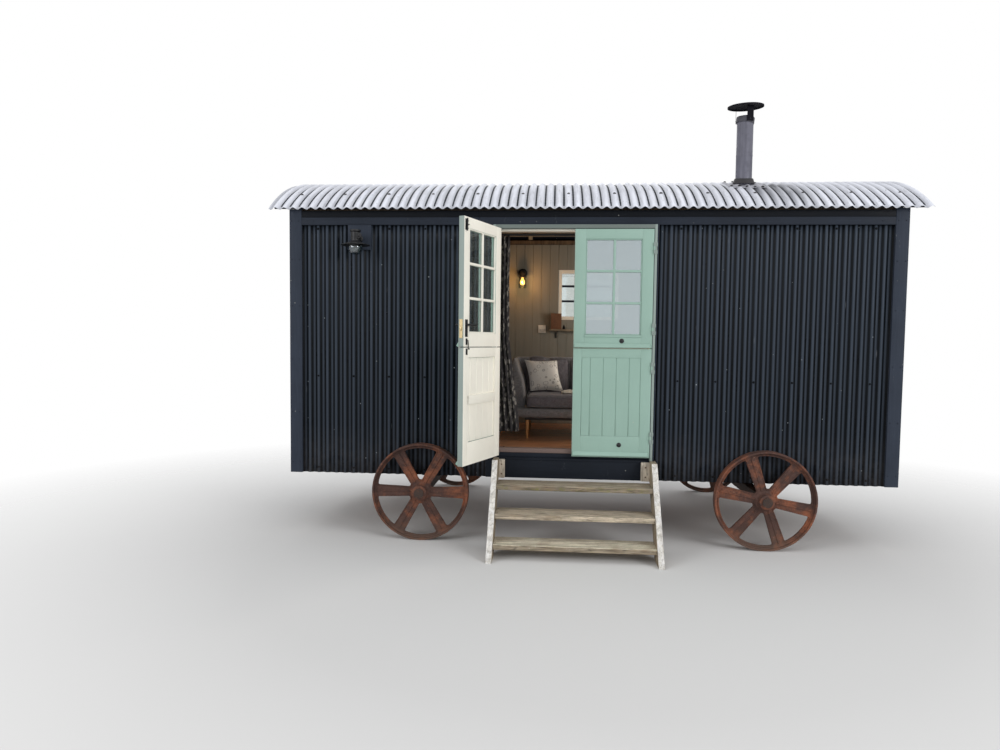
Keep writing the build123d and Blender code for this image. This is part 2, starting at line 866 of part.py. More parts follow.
seat_left = sofa_left + sofa_arm + soft_gap
seat_right = sofa_right - sofa_arm - soft_gap
with BuildPart() as sofa_back:
    block(
        (seat_left, back_front, base_top + soft_gap),
        (seat_right, sofa_high - 60 - soft_gap, back_level),
    )
    fillet(sofa_back.edges().filter_by(Axis.X), 40)
save(sofa_back.part, "sofa_back")

with BuildPart() as sofa_legs:
    rail_top = base_bottom
    rail_low = base_bottom - 20
    leg_low = sofa_low + 45
    leg_high = sofa_high - 75
    rail_left = sofa_left + sofa_leg_inset
    rail_right = sofa_right - sofa_leg_inset
    block((rail_left - 20, leg_low - 20, rail_low), (rail_right + 20, leg_high + 20, rail_top))
    block(
        (rail_left + 20, leg_low + 20, rail_low),
        (rail_right - 20, leg_high - 20, rail_top),
        Mode.SUBTRACT,
    )
    for x in (rail_left, rail_right):
        for y in (leg_low, leg_high):
            with BuildSketch(Plane.XY.offset(floor_top)):
                with Locations([(x, y)]):
                    Circle(12)
            with BuildSketch(Plane.XY.offset(rail_low + 5)):
                with Locations([(x, y)]):
                    Circle(20)
            loft()
save(sofa_legs.part, "sofa_legs")

# Scatter cushion leaning on the sofa's back
cushion_x = sofa_left + sofa_arm + 2 + cushion_size / 2
lean = radians(20)
cushion_flat = cushion_thickness / 2 - cushion_edge
cushion_tall = cushion_size - cushion_edge
cushion_foot = back_front - cushion_tall * sin(lean) - cushion_flat * cos(lean) - cushion_edge - soft_gap
cushion_low = seat_level - cushion_edge * cos(lean) + cushion_flat * sin(lean) + cushion_edge + soft_gap
lean_plane = Plane(
    (cushion_x, cushion_foot, cushion_low),
    x_dir=(1, 0, 0),
    z_dir=(0, -cos(lean), sin(lean)),
)
with BuildPart() as cushion:
    with BuildSketch(lean_plane):
        Rectangle(cushion_size, cushion_size, align=(Align.CENTER, Align.MIN))
    extrude(amount=cushion_thickness / 2, both=True)
    fillet(cushion.edges(), cushion_edge)
save(cushion.part, "scatter_cushion")

# Curtain drawn to the left of the doorway, hung from its pole
curtain_y = front_wall_high + 62
pole_height = leaf_top - pole_drop
with BuildPart() as pole:
    with BuildSketch(Plane.YZ.offset(frame_left - 230)):
        with Locations([(curtain_y, pole_height)]):
            Circle(pole_radius)
    extrude(amount=frame_right - frame_left + 400)
    for x in (frame_left - 190, frame_right + 130):
        block((x, front_wall_high, pole_height - 8), (x + 16, curtain_y, pole_height + 8))
save(pole.part, "curtain_pole")

with BuildPart() as curtain:
    block(
        (curtain_left, curtain_y - 38, floor_top + curtain_bottom),
        (curtain_right, curtain_y + 38, pole_height - pole_radius - soft_gap),
    )
save(curtain.part, "curtain")

# Shelf and lamp on the rear wall
rear_inner = rear_y - wall_in
shelf_top = window_bottom - shelf_drop
with BuildPart() as shelf:
    block((shelf_left, rear_inner - shelf_depth, shelf_top - 22), (shelf_right, rear_inner, shelf_top))
save(shelf.part, "rear_shelf")

lamp_height = fascia_bottom - lamp_drop
lamp_y = rear_inner - 90
with BuildPart() as lamp:
    with BuildSketch(Plane.XZ.offset(-rear_inner)):
        with Locations([(lamp_x, lamp_height)]):
            Circle(48)
    extrude(amount=14)
    block((lamp_x - 7, lamp_y, lamp_height - 7), (lamp_x + 7, rear_inner - 10, lamp_height + 7))
    pillar(lamp_x, lamp_y, lamp_height - 45, 30, 60)
    pillar(lamp_x, lamp_y, lamp_height - 45 - jar_height, jar_radius, jar_height)
save(lamp.part, "wall_lamp")

print("front_y", front_y, "rear_y", rear_y, "wall_top", wall_top, "roof_axis", roof_axis)
print("door axes", hinge_x, hinge_y, "hub_outer", hub_outer, "floor_top", floor_top)
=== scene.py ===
import json
import sys
from functools import cache
from math import asin, copysign, cos, pi, radians, sin, sqrt, tan

import bmesh
import bpy
from bpy.types import Operator, Panel, PropertyGroup
from mathutils import Matrix, Vector, kdtree, noise
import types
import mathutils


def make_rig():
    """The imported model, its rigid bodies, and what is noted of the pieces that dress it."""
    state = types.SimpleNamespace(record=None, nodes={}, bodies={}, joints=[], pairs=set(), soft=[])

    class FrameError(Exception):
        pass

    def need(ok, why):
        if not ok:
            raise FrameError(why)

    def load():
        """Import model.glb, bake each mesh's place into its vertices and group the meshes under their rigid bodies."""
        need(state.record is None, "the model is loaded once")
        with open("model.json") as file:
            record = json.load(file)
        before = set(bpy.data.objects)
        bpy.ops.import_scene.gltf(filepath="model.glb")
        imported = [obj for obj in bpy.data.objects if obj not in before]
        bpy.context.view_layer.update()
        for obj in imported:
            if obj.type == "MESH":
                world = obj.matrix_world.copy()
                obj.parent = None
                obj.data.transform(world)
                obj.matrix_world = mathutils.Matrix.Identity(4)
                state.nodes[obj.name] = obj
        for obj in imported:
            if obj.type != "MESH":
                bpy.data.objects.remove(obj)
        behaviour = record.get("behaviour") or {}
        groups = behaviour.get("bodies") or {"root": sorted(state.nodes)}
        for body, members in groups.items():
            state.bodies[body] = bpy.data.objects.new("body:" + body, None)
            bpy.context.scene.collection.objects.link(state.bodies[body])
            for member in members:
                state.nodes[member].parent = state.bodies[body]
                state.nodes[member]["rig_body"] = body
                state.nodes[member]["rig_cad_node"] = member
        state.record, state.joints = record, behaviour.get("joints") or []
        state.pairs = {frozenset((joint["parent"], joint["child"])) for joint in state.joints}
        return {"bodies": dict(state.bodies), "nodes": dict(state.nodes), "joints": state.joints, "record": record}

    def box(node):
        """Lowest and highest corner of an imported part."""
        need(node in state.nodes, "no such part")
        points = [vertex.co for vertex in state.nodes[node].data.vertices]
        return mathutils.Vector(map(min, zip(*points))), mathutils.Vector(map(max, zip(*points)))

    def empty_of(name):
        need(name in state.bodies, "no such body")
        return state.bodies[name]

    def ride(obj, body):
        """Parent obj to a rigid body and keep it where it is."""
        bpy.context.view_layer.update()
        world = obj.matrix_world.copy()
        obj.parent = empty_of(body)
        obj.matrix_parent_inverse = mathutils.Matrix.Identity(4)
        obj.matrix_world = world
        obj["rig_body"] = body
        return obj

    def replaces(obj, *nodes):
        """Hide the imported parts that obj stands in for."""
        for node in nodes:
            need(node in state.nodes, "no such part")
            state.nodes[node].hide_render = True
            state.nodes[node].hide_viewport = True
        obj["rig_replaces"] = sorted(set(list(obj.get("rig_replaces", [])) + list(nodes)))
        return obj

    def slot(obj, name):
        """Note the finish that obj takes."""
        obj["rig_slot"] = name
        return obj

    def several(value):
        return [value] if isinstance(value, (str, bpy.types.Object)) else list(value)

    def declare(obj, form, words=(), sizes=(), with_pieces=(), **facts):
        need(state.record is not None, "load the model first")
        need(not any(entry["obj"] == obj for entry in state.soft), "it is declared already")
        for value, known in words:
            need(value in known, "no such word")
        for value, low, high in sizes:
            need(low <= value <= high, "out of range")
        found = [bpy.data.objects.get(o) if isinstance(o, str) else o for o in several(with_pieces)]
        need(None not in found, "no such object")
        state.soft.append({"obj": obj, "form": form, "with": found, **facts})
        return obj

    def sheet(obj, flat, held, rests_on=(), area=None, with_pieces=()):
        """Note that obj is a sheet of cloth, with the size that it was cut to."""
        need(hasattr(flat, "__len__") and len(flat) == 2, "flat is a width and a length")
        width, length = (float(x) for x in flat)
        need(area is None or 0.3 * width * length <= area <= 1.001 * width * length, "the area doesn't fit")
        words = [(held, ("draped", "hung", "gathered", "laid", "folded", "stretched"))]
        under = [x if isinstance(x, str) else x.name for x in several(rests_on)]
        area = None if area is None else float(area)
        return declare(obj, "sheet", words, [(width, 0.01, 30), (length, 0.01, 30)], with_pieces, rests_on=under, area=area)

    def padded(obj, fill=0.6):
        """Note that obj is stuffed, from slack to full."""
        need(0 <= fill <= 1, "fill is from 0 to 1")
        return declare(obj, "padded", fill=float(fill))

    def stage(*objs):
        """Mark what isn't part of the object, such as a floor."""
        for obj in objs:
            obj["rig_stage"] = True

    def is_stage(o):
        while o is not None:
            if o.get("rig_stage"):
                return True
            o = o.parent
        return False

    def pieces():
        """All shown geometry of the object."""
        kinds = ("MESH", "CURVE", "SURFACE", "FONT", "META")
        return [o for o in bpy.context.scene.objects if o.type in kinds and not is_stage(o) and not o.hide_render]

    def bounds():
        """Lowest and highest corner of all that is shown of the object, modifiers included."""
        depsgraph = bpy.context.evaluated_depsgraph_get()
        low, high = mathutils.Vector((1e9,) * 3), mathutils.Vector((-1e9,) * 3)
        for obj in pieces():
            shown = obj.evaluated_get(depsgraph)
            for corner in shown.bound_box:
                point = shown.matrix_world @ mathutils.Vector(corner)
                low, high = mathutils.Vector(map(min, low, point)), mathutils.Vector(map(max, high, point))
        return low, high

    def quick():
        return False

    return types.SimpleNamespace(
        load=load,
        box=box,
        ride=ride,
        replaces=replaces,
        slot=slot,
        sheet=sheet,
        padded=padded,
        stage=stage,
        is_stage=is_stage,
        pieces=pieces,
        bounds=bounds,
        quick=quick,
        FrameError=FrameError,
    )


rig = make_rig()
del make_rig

bl_info = {
    "name": "Shepherd's hut", "version": (1, 0, 0), "blender": (4, 5, 0),
    "location": "View3D > Sidebar > Hut",
    "description": "Dresses the frame of a shepherd's hut with its sheets, boards, doors, ironwork and room",
    "category": "Object"
}

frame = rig.load()
nodes = frame["nodes"]
cad_box = [list(corner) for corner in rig.bounds()]
boxes = {name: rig.box(name) for name in nodes}
hinge = {joint["child"]: Vector(joint["pos_m"]) for joint in frame["joints"]}

HUT = "hut"
TURN_OPEN = radians(111)

# The roof's curve, read back from the boards and the sheet
middle_y = (boxes["rear_wall"][1].y + boxes["front_wall_left"][0].y) / 2
board_low, board_high = boxes["roof_boards"]
ROOF_RADIUS = 1.875
roof_axis = boxes["roof_sheet"][1].z - ROOF_RADIUS - 0.009
BOARD_OUTER = board_high.z - roof_axis
BOARD_INNER = BOARD_OUTER - 0.022


def paint(red, green, blue):
    """A colour from its 0 to 255 screen values, as Blender's linear numbers."""
    linear = []
    for part in (red, green, blue):
        part /= 255
        linear.append(part / 12.92 if part <= 0.04045 else ((part + 0.055) / 1.055) ** 2.4)
    return (*linear, 1.0)


def shade(colour, factor):
    """The same colour, lighter or darker."""
    return (*[min(1.0, part * factor) for part in colour[:3]], 1.0)


class Value:
    """An output socket that can stand in a sum."""

    def __init__(self, net, socket):
        self.net = net
        self.socket = socket

    def __add__(self, other):
        return self.net.math("ADD", self, other)

    def __sub__(self, other):
        return self.net.math("SUBTRACT", self, other)

    def __rsub__(self, other):
        return self.net.math("SUBTRACT", other, self)

    def __mul__(self, other):
        return self.net.math("MULTIPLY", self, other)

    def __truediv__(self, other):
        return self.net.math("DIVIDE", self, other)

    __radd__ = __add__
    __rmul__ = __mul__

    def over(self, edge, soft=0.02):
        """1 where the value is over the edge, with a soft step."""
        return self.net.spread(self, edge - soft, edge + soft)

    def under(self, edge, soft=0.02):
        return self.net.spread(self, edge + soft, edge - soft)


class Net:
    """A node tree that is written as calls and sums, for finishes and for grown shapes alike."""

    def __init__(self, tree):
        self.tree = tree

    def node(self, kind, settings=None, inputs=None, out=0):
        made = self.tree.nodes.new(kind)
        for key, value in (settings or {}).items():
            if key == "stops":
                for place, colour in value[1:-1]:
                    made.color_ramp.elements.new(place)
                for element, (place, colour) in zip(made.color_ramp.elements, value):
                    element.position = place
                    element.color = colour
            else:
                setattr(made, key, value)
        for key, value in (inputs or {}).items():
            self.feed(made.inputs[key], value)
        return Value(self, made.outputs[out]) if made.outputs else None

    def feed(self, socket, value):
        if isinstance(value, Value):
            self.tree.links.new(value.socket, socket)
        else:
            socket.default_value = value

    def math(self, operation, first, second=0.0):
        return self.node("ShaderNodeMath", {"operation": operation}, {0: first, 1: second})

    def spread(self, value, low, high, to_low=0.0, to_high=1.0):
        """The value stretched between two limits and held there."""
        settings = {"clamp": True}
        return self.node("ShaderNodeMapRange", settings, {0: value, 1: low, 2: high, 3: to_low, 4: to_high})

    def parts(self, vector):
        """The three numbers of a vector."""
        return [self.node("ShaderNodeSeparateXYZ", None, {0: vector}, out) for out in range(3)]

    def joined(self, x, y, z):
        return self.node("ShaderNodeCombineXYZ", None, {0: x, 1: y, 2: z})


class Finish(Net):
    """A surface finish in the making."""

    def __init__(self, name):
        self.material = bpy.data.materials.new(name)
        self.material.use_nodes = True
        super().__init__(self.material.node_tree)
        self.tree.nodes.clear()

    def place(self, scale=(1, 1, 1), turn=(0, 0, 0), shift=(0, 0, 0)):
        where = self.node("ShaderNodeTexCoord", None, None, "Object")
        return self.node("ShaderNodeMapping", None, {0: where, 1: shift, 2: turn, 3: scale})

    def noise(self, scale, detail=4.0, rough=0.55, where=None, twist=0.0):
        inputs = {"Vector": where or self.place(), "Scale": scale, "Detail": detail, "Roughness": rough}
        inputs["Distortion"] = twist
        return self.node("ShaderNodeTexNoise", None, inputs, "Fac")

    def cells(self, scale, where=None, feature="F1", out="Distance"):
        inputs = {"Vector": where or self.place(), "Scale": scale}
        return self.node("ShaderNodeTexVoronoi", {"feature": feature}, inputs, out)

    def mix(self, factor, first, second, blend="MIX"):
        settings = {"data_type": "RGBA", "blend_type": blend, "clamp_factor": True}
        return self.node("ShaderNodeMix", settings, {0: factor, 6: first, 7: second}, 2)

    def bump(self, height, distance=0.001):
        return self.node("ShaderNodeBump", None, {"Height": height, "Distance": distance})

    def surface(self, base, roughness=0.6, height=None, distance=0.001, metallic=0.0, shine=0.5, fixed=None):
        """Ends the finish. The shine and the numbers in fixed are the same all over the surface."""
        inputs = {
            "Base Color": base, "Roughness": roughness, "Metallic": metallic, "Specular IOR Level": shine
        }
        if height is not None:
            inputs["Normal"] = self.bump(height, distance)
        inputs.update(fixed or {})
        return self.end(self.node("ShaderNodeBsdfPrincipled", None, inputs))

    def layers(self, tone, first, *coats):
        """Coats of (mask, colour) over a first one. A number is a level of the tone, three are a colour."""

        def look(value):
            if isinstance(value, Value) or isinstance(value, tuple) and len(value) == 4:
                return value
            return shade(tone, value) if isinstance(value, float) else paint(*value)

        base = look(first)
        for mask, value in coats:
            base = self.mix(mask, base, look(value))
        return base

    def attribute(self, name, out=2):
        return self.node("ShaderNodeAttribute", {"attribute_name": name}, None, out)

    def clear(self, *tint):
        return self.node("ShaderNodeBsdfTransparent", None, {"Color": (*tint, 1.0)})

    def glossy(self, roughness, normal, *tint):
        inputs = {"Color": (*tint, 1.0), "Roughness": roughness, "Normal": normal}
        return self.node("ShaderNodeBsdfAnisotropic", {"distribution": "GGX"}, inputs)

    def blend(self, factor, first, second):
        return self.node("ShaderNodeMixShader", None, {0: factor, 1: first, 2: second})

    def end(self, shader):
        self.node("ShaderNodeOutputMaterial", None, {"Surface": shader})
        return self.material


def chips(net, scale, size, share):
    """Small scattered marks: 1 inside a mark, on a share of the cells."""
    where = net.place()
    near = net.cells(scale, where)
    picked = net.parts(net.cells(scale, where, out="Color"))[0]
    ragged = net.noise(scale * 3.1, 3.0, 0.7, where) * 0.6 + 0.7
    return (near * ragged).under(size, size * 0.25) * picked.under(share, 0.002)


def wood(net, along, ring=26.0, fine=170.0):
    """Two fields of grain that run along an axis: broad bands and fine fibres."""
    broad_scale, fine_scale = [ring] * 3, [fine] * 3
    broad_scale["XYZ".index(along)] = ring * 0.045
    fine_scale["XYZ".index(along)] = fine * 0.03
    broad = net.noise(1.0, 3.0, 0.6, net.place(broad_scale), twist=0.7)
    fibres = net.noise(1.0, 4.0, 0.65, net.place(fine_scale, shift=(3.1, 1.7, 5.3)))
    return broad, fibres


@cache
def stock(name, *choices):
    """A finish by name, made once for each choice."""
    return globals()["finish_" + name](*choices)


def settings():
    return bpy.context.scene.hut


def tinted(which):
    return (*getattr(settings(), which + "_colour"), 1.0)


def finish_roof_paint():
    net = Finish("roof paint")
    tone = tinted("roof")
    x, y, z = net.parts(net.place())
    arc = net.math("ARCTAN2", y - middle_y, z - roof_axis) * ROOF_RADIUS
    streak = net.noise(1.0, 5.0, 0.6, net.joined(x * 26.0, arc * 1.6, 0.0))
    blotch = net.noise(2.6, 5.0, 0.6)
    fine = net.noise(60.0, 4.0, 0.7)
    grime = net.noise(1.0, 6.0, 0.75, net.joined(x * 60.0, arc * 5.0, 3.0)).over(0.62, 0.08)
    crest = net.attribute("crest")
    # Soot washed down the front slope below the flue
    side = net.math("ABSOLUTE", x - (boxes["flue_pipe"][0].x + 0.1) + arc * 0.22)
    wash = side.under(0.2, 0.08) * net.spread(arc, -1.2, -0.75, 0.2, 1.0) * arc.under(-0.6, 0.04)
    wash = wash * net.spread(crest, 0.9, -0.5, 0.7, 1.0) * streak.over(0.4, 0.12)
    # Painted shade and highlight: the wave troughs are painted darker and the crests lighter, by the wave's phase. The
    # coats after them are streaks, blotches, grime, chips and soot.
    base = net.layers(
        tone, 0.5, (net.spread(crest, -0.95, 0.2), 0.96), (net.spread(crest, 0.0, 0.85), 1.16),
        (streak.over(0.52, 0.22) * 0.4, 1.2), (blotch.over(0.57, 0.1) * 0.35, 0.72),
        (streak.under(0.44, 0.08) * 0.4, 0.66), (grime * 0.5, (128, 126, 130)),
        (chips(net, 34.0, 0.16, 0.22) * 0.55, (112, 112, 96)),
        (chips(net, 15.0, 0.1, 0.12) * 0.7, (72, 70, 70)), (wash * 1.1, (70, 72, 80))
    )
    rough = net.spread(blotch + fine * 0.3, 0.4, 0.9, 0.38, 0.62)
    return net.surface(base, rough, net.noise(7.0, 3.0) * 0.6 + fine * 0.12, 0.0012, 0.12, 0.45)


def finish_cladding_paint():
    net = Finish("cladding paint")
    tone = tinted("cladding")
    x, y, z = net.parts(net.place())
    streak = net.noise(1.0, 4.0, 0.6, net.place((9, 9, 0.9)))
    blotch = net.noise(2.4, 4.0, 0.6)
    # Painted highlights: where a wave faces straight out, at its crest and its trough, the paint is 3.4 times the
    # tone. The flanks are at 0.12 of it as painted shade, so each wave shows two bright bands.
    facing = net.math("ABSOLUTE", net.attribute("crest") + 0.06)
    base = net.layers(
        tone, 0.12, (net.spread(facing, 0.45, 0.98), 3.4), (blotch.over(0.5, 0.2) * 0.3, 1.2),
        (streak.over(0.6, 0.12) * 0.12, 1.9)
    )
    # Painted shade: the sheets are darker towards the bottom.
    base = net.mix(net.spread(z, 2.3, 0.9, 0.0, 0.4), base, (0.55, 0.54, 0.52, 1.0), "MULTIPLY")
    dust = net.spread(z, 0.5, 0.95, 1.0, 0.0) * net.noise(13.0, 5.0, 0.7).over(0.48, 0.2)
    base = net.layers(
        tone, base, (dust * 0.35, (84, 80, 80)), (chips(net, 22.0, 0.1, 0.045) * 0.8, (128, 134, 140)),
        (chips(net, 9.0, 0.05, 0.1) * 0.85, (150, 156, 160)),
        (net.cells(1.0, net.place((9, 9, 1.4), shift=(2, 2, 4))).under(0.035, 0.02) * 0.4, (110, 114, 120))
    )
    rough = net.spread(blotch + streak * 0.5, 0.5, 1.0, 0.24, 0.36)
    return net.surface(
        base, rough, net.noise(11.0, 3.0) * 0.5 + net.noise(240.0, 3.0, 0.6) * 0.04, 0.0009, 0.0, 0.05
    )


def finish_board_paint(along, level=1.0):
    """Dark paint on timber boards, with its grain just showing."""
    net = Finish("board paint " + along)
    tone = shade(tinted("trim"), level)
    broad, fibres = wood(net, along)
    blotch = net.noise(3.0, 5.0, 0.6)
    scuff = net.noise(1.0, 6.0, 0.8, net.place((14, 14, 5), (0.4, 0.3, 0.2))).over(0.68, 0.04)
    base = net.layers(
        tone, 0.86, (blotch.over(0.5, 0.2), 1.14), (fibres.over(0.6, 0.1) * 0.35, 1.6),
        (scuff * 0.4, (120, 122, 124)), (chips(net, 30.0, 0.12, 0.05) * 0.8, (150, 150, 146))
    )
    return net.surface(
        base, net.spread(blotch, 0.3, 0.7, 0.46, 0.62), broad * 0.5 + fibres * 0.6, 0.0009, 0.0, 0.08
    )


def finish_door_paint(side, along="Z", level=1.0):
    """Satin paint: sage outside, cream inside, or a greyer sage on an edge. A level under 1 darkens it, as painted
    shadow on the frame's head.
    """
    net = Finish(side + " door paint " + along)
    tone = shade(tinted({"sage": "outside", "cream": "inside"}.get(side, side)), level)
    broad, fibres = wood(net, along, 30.0, 210.0)
    blotch = net.noise(2.2, 5.0, 0.6)
    base = net.layers(
        tone, 0.94, (blotch.over(0.5, 0.25), 1.05), (fibres.over(0.62, 0.1) * 0.22, 0.84),
        (net.noise(1.0, 6.0, 0.75, net.place((24, 24, 6))).over(0.66, 0.06) * 0.22, 0.62),
        (chips(net, 26.0, 0.08, 0.03) * 0.6, (196, 190, 172))
    )
    return net.surface(
        base, net.spread(blotch, 0.3, 0.7, 0.42, 0.54), broad * 0.4 + fibres * 0.5, 0.0005, 0.0, 0.4
    )


def finish_glass(mirror=0.34):
    """Old flat panes: part mirror, part clear, with a faint dusty film."""
    net = Finish("window glass")
    normal = net.bump(net.noise(3.5, 2.0, 0.5), 0.0016)
    level = 1.0 - mirror
    clear = net.clear(0.92 * level, 0.96 * level, 0.95 * level)
    pane = net.blend(mirror, clear, net.glossy(0.03, normal, 0.82, 0.93, 0.98))
    dusty = net.node("ShaderNodeBsdfDiffuse", None, {"Color": paint(176, 180, 176)})
    return net.end(net.blend(net.noise(9.0, 6.0, 0.7).over(0.5, 0.3) * 0.1, pane, dusty))


def finish_jar_glass():
    """Clear blown glass, thin enough to see through."""
    net = Finish("jar glass")
    wave = net.bump(net.noise(30.0, 2.0), 0.0006)
    return net.end(net.blend(0.07, net.clear(0.8, 0.84, 0.85), net.glossy(0.05, wave, 0.95, 0.97, 1.0)))


def finish_black_iron():
    net = Finish("black iron")
    blotch = net.noise(40.0, 4.0, 0.6)
    base = net.layers(
        None, (20, 21, 24), (blotch.over(0.55, 0.15), (36, 36, 38)),
        (net.noise(22.0, 6.0, 0.8).over(0.68, 0.05) * 0.5, (84, 66, 54))
    )
    return net.surface(base, net.spread(blotch, 0.3, 0.7, 0.38, 0.6), blotch, 0.0006, 0.3)


def finish_rust():
    """Old castings: red-brown rust with orange bloom, dark scale and worn edges."""
    net = Finish("rusty iron")
    tone = tinted("wheel")
    broad = net.noise(9.0, 6.0, 0.65, twist=0.4)
    fine = net.noise(70.0, 6.0, 0.75)
    low = net.spread(net.parts(net.place())[2], 0.2, 0.0, 0.0, 0.5)
    base = net.layers(
        tone, 0.62, (broad.over(0.5, 0.14), 1.12),
        (net.noise(5.0, 5.0, 0.7).over(0.56, 0.1) * 0.75, (158, 94, 62)),
        (fine.over(0.58, 0.08) * 0.6, (62, 42, 40)), (chips(net, 40.0, 0.14, 0.1) * 0.6, (172, 132, 110)),
        (low * fine.over(0.4, 0.2), (116, 98, 84))
    )
    return net.surface(base, net.spread(fine, 0.3, 0.7, 0.68, 0.9), broad * 0.5 + fine * 0.7, 0.002, 0.1)


def finish_underframe():
    net = Finish("underframe")
    broad = net.noise(7.0, 6.0, 0.65)
    fine = net.noise(60.0, 5.0, 0.7)
    rusty = (broad.over(0.5, 0.14), paint(72, 54, 46)), (fine.over(0.6, 0.08) * 0.6, paint(104, 70, 52))
    base = net.layers(None, (44, 38, 36), *rusty)
    return net.surface(base, net.spread(fine, 0.3, 0.7, 0.66, 0.88), broad + fine * 0.5, 0.0016, 0.2)


def finish_rough_timber(along="X"):
    net = Finish("rough timber " + along)
    broad, fibres = wood(net, along)
    grain = (broad.over(0.5, 0.2), paint(126, 106, 84)), (fibres.over(0.55, 0.12) * 0.7, paint(58, 48, 40))
    return net.surface(net.layers(None, (92, 76, 60), *grain), 0.82, broad * 0.4 + fibres, 0.0014)


def finish_weathered(along, level=1.0, moss=0.3, bleached=0.0):
    """Bare boards gone grey-brown outdoors, with checks, dark fibres and a little moss."""
    net = Finish("weathered timber " + along)
    tone = shade(tinted("step"), level)
    # Mixed toward pale grey: bleaching of the timber and, on the steps' lit faces, painted light.
    tone = tuple(a + (b - a) * bleached for a, b in zip(tone, paint(222, 218, 210)))
    fade = 1.0 - 0.75 * bleached
    broad, fibres = wood(net, along, 34.0, 190.0)
    drawn = [net.place([4 if axis == along else 26 for axis in "XYZ"], shift=(7, 1, 2))]
    drawn.append(net.place([3 if axis == along else 60 for axis in "XYZ"]))
    checks = net.cells(1.0, drawn[1], "DISTANCE_TO_EDGE").under(0.03, 0.02)
    base = net.layers(
        tone, 0.66, (broad.over(0.5, 0.16), 1.28), (fibres.over(0.56, 0.07) * (0.75 * fade), 0.36),
        (fibres.under(0.4, 0.06) * 0.6, 1.75),
        (net.noise(4.0, 5.0, 0.65).over(0.56, 0.1) * (0.45 * fade), (150, 124, 96)),
        (net.noise(17.0, 6.0, 0.75).over(0.57, 0.07) * moss, (118, 118, 62)),
        (net.noise(1.0, 6.0, 0.8, drawn[0]).over(0.53, 0.07) * 0.6, 1.9),
        (chips(net, 46.0, 0.16, 0.08) * 0.8, (206, 200, 186)), (checks * (0.6 * fade), 0.28)
    )
    return net.surface(base, 0.86, broad * 0.4 + fibres * 0.9 - checks * 0.5, 0.003)


def finish_flue_metal(level=1.0):
    net = Finish("flue metal")
    streak = net.noise(1.0, 5.0, 0.65, net.place((42, 42, 3)))
    blotch = net.noise(14.0, 5.0, 0.65)
    tone = shade(paint(98, 98, 110), level)
    marks = (streak.over(0.5, 0.2), shade(tone, 1.22)), (blotch.over(0.6, 0.08) * 0.4, shade(tone, 0.6))
    base = net.layers(tone, 0.8, *marks)
    return net.surface(base, net.spread(blotch, 0.3, 0.7, 0.5, 0.66), blotch, 0.0007, 0.25)


def finish_plain(label, red, green, blue, rough=0.5, metal=0.0, grain=60.0, depth=0.0003, shine=0.5):
    """A small fitting's finish: one colour, mottled, with a fine texture."""
    net = Finish(label)
    tone = paint(red, green, blue)
    blotch = net.noise(grain, 5.0, 0.65)
    base = net.mix(blotch.over(0.52, 0.2), shade(tone, 0.8), shade(tone, 1.18))
    roughness = net.spread(blotch, 0.3, 0.7, rough * 0.85, min(1.0, rough * 1.15))
    return net.surface(base, roughness, blotch, depth, metal, shine)


def finish_lining(level=1.0, along="Z"):
    net = Finish("lining paint " + along)
    tone = shade(tinted("lining"), level)
    broad, fibres = wood(net, along, 24.0, 180.0)
    grain = (broad.over(0.5, 0.2), shade(tone, 1.06)), (fibres.over(0.62, 0.1) * 0.25, shade(tone, 0.8))
    return net.surface(net.layers(tone, 0.93, *grain), 0.62, broad * 0.4 + fibres * 0.5, 0.0006)


def finish_floor():
    """Varnished orange-brown planks that run along the hut."""
    net = Finish("floor planks")
    tone = tinted("floor")
    broad, fibres = wood(net, "X", 30.0, 200.0)
    number = net.math("FLOOR", net.parts(net.place())[1] / 0.122 + 0.5)
    plank = net.node("ShaderNodeTexWhiteNoise", {"noise_dimensions": "1D"}, {"W": number})
    base = net.layers(
        tone, 0.72, (broad.over(0.5, 0.18), 1.2), (plank * 0.5, 0.8), (fibres.over(0.58, 0.08) * 0.6, 0.45)
    )
    varnish = {"Coat Weight": 0.35, "Coat Roughness": 0.18}
    rough = net.spread(broad, 0.3, 0.7, 0.24, 0.36)
    return net.surface(base, rough, broad * 0.3 + fibres * 0.5, 0.0006, fixed=varnish)


def finish_glow(red, green, blue, strength):
    net = Finish("lit bulb")
    tone = paint(red, green, blue)
    base = net.mix(net.noise(60.0, 2.0), shade(tone, 0.9), tone)
    return net.surface(base, 0.3, fixed={"Emission Color": base, "Emission Strength": strength})


def finish_wool(red, green, blue, fleck=0.5):
    """Woven upholstery with pale and dark flecks."""
    net = Finish("woven cloth")
    tone = paint(red, green, blue)
    warp, weft = (net.noise(1.0, 2.0, 0.6, net.place(scale)) for scale in ((260, 40, 260), (40, 260, 40)))
    weave = warp * 0.5 + weft * 0.5
    base = net.layers(
        tone, 0.72, (weave.over(0.5, 0.1), 1.25), (net.noise(420.0, 3.0, 0.8).over(0.62, 0.05) * fleck, 2.0),
        (net.noise(4.0, 3.0).over(0.5, 0.2) * 0.3, 0.8)
    )
    rough = net.spread(weave, 0.3, 0.7, 0.86, 0.98)
    return net.surface(base, rough, weave, 0.0012, 0.0, 0.2, {"Sheen Weight": 0.15})


def finish_print():
    """Off-white cloth with a scatter of small soft motifs."""
    net = Finish("printed cloth")
    weave = net.noise(300.0, 3.0, 0.7)
    swirl = net.noise(14.0, 3.0, 0.6, twist=1.4)
    near = net.cells(17.0) + swirl * 0.25
    leafy = net.cells(31.0, net.place(shift=(0.3, 0.2, 0.7))) + swirl * 0.3
    base = net.layers(
        None, (232, 229, 224), (weave.over(0.5, 0.15), (244, 242, 238)),
        (near.over(0.36, 0.02) * near.under(0.44, 0.02) * 0.55, (122, 118, 122)),
        (leafy.under(0.24, 0.03) * 0.7, (156, 118, 94)), (chips(net, 26.0, 0.2, 0.2) * 0.7, (104, 110, 100))
    )
    return net.surface(base, 0.9, weave, 0.0008, 0.0, 0.2)


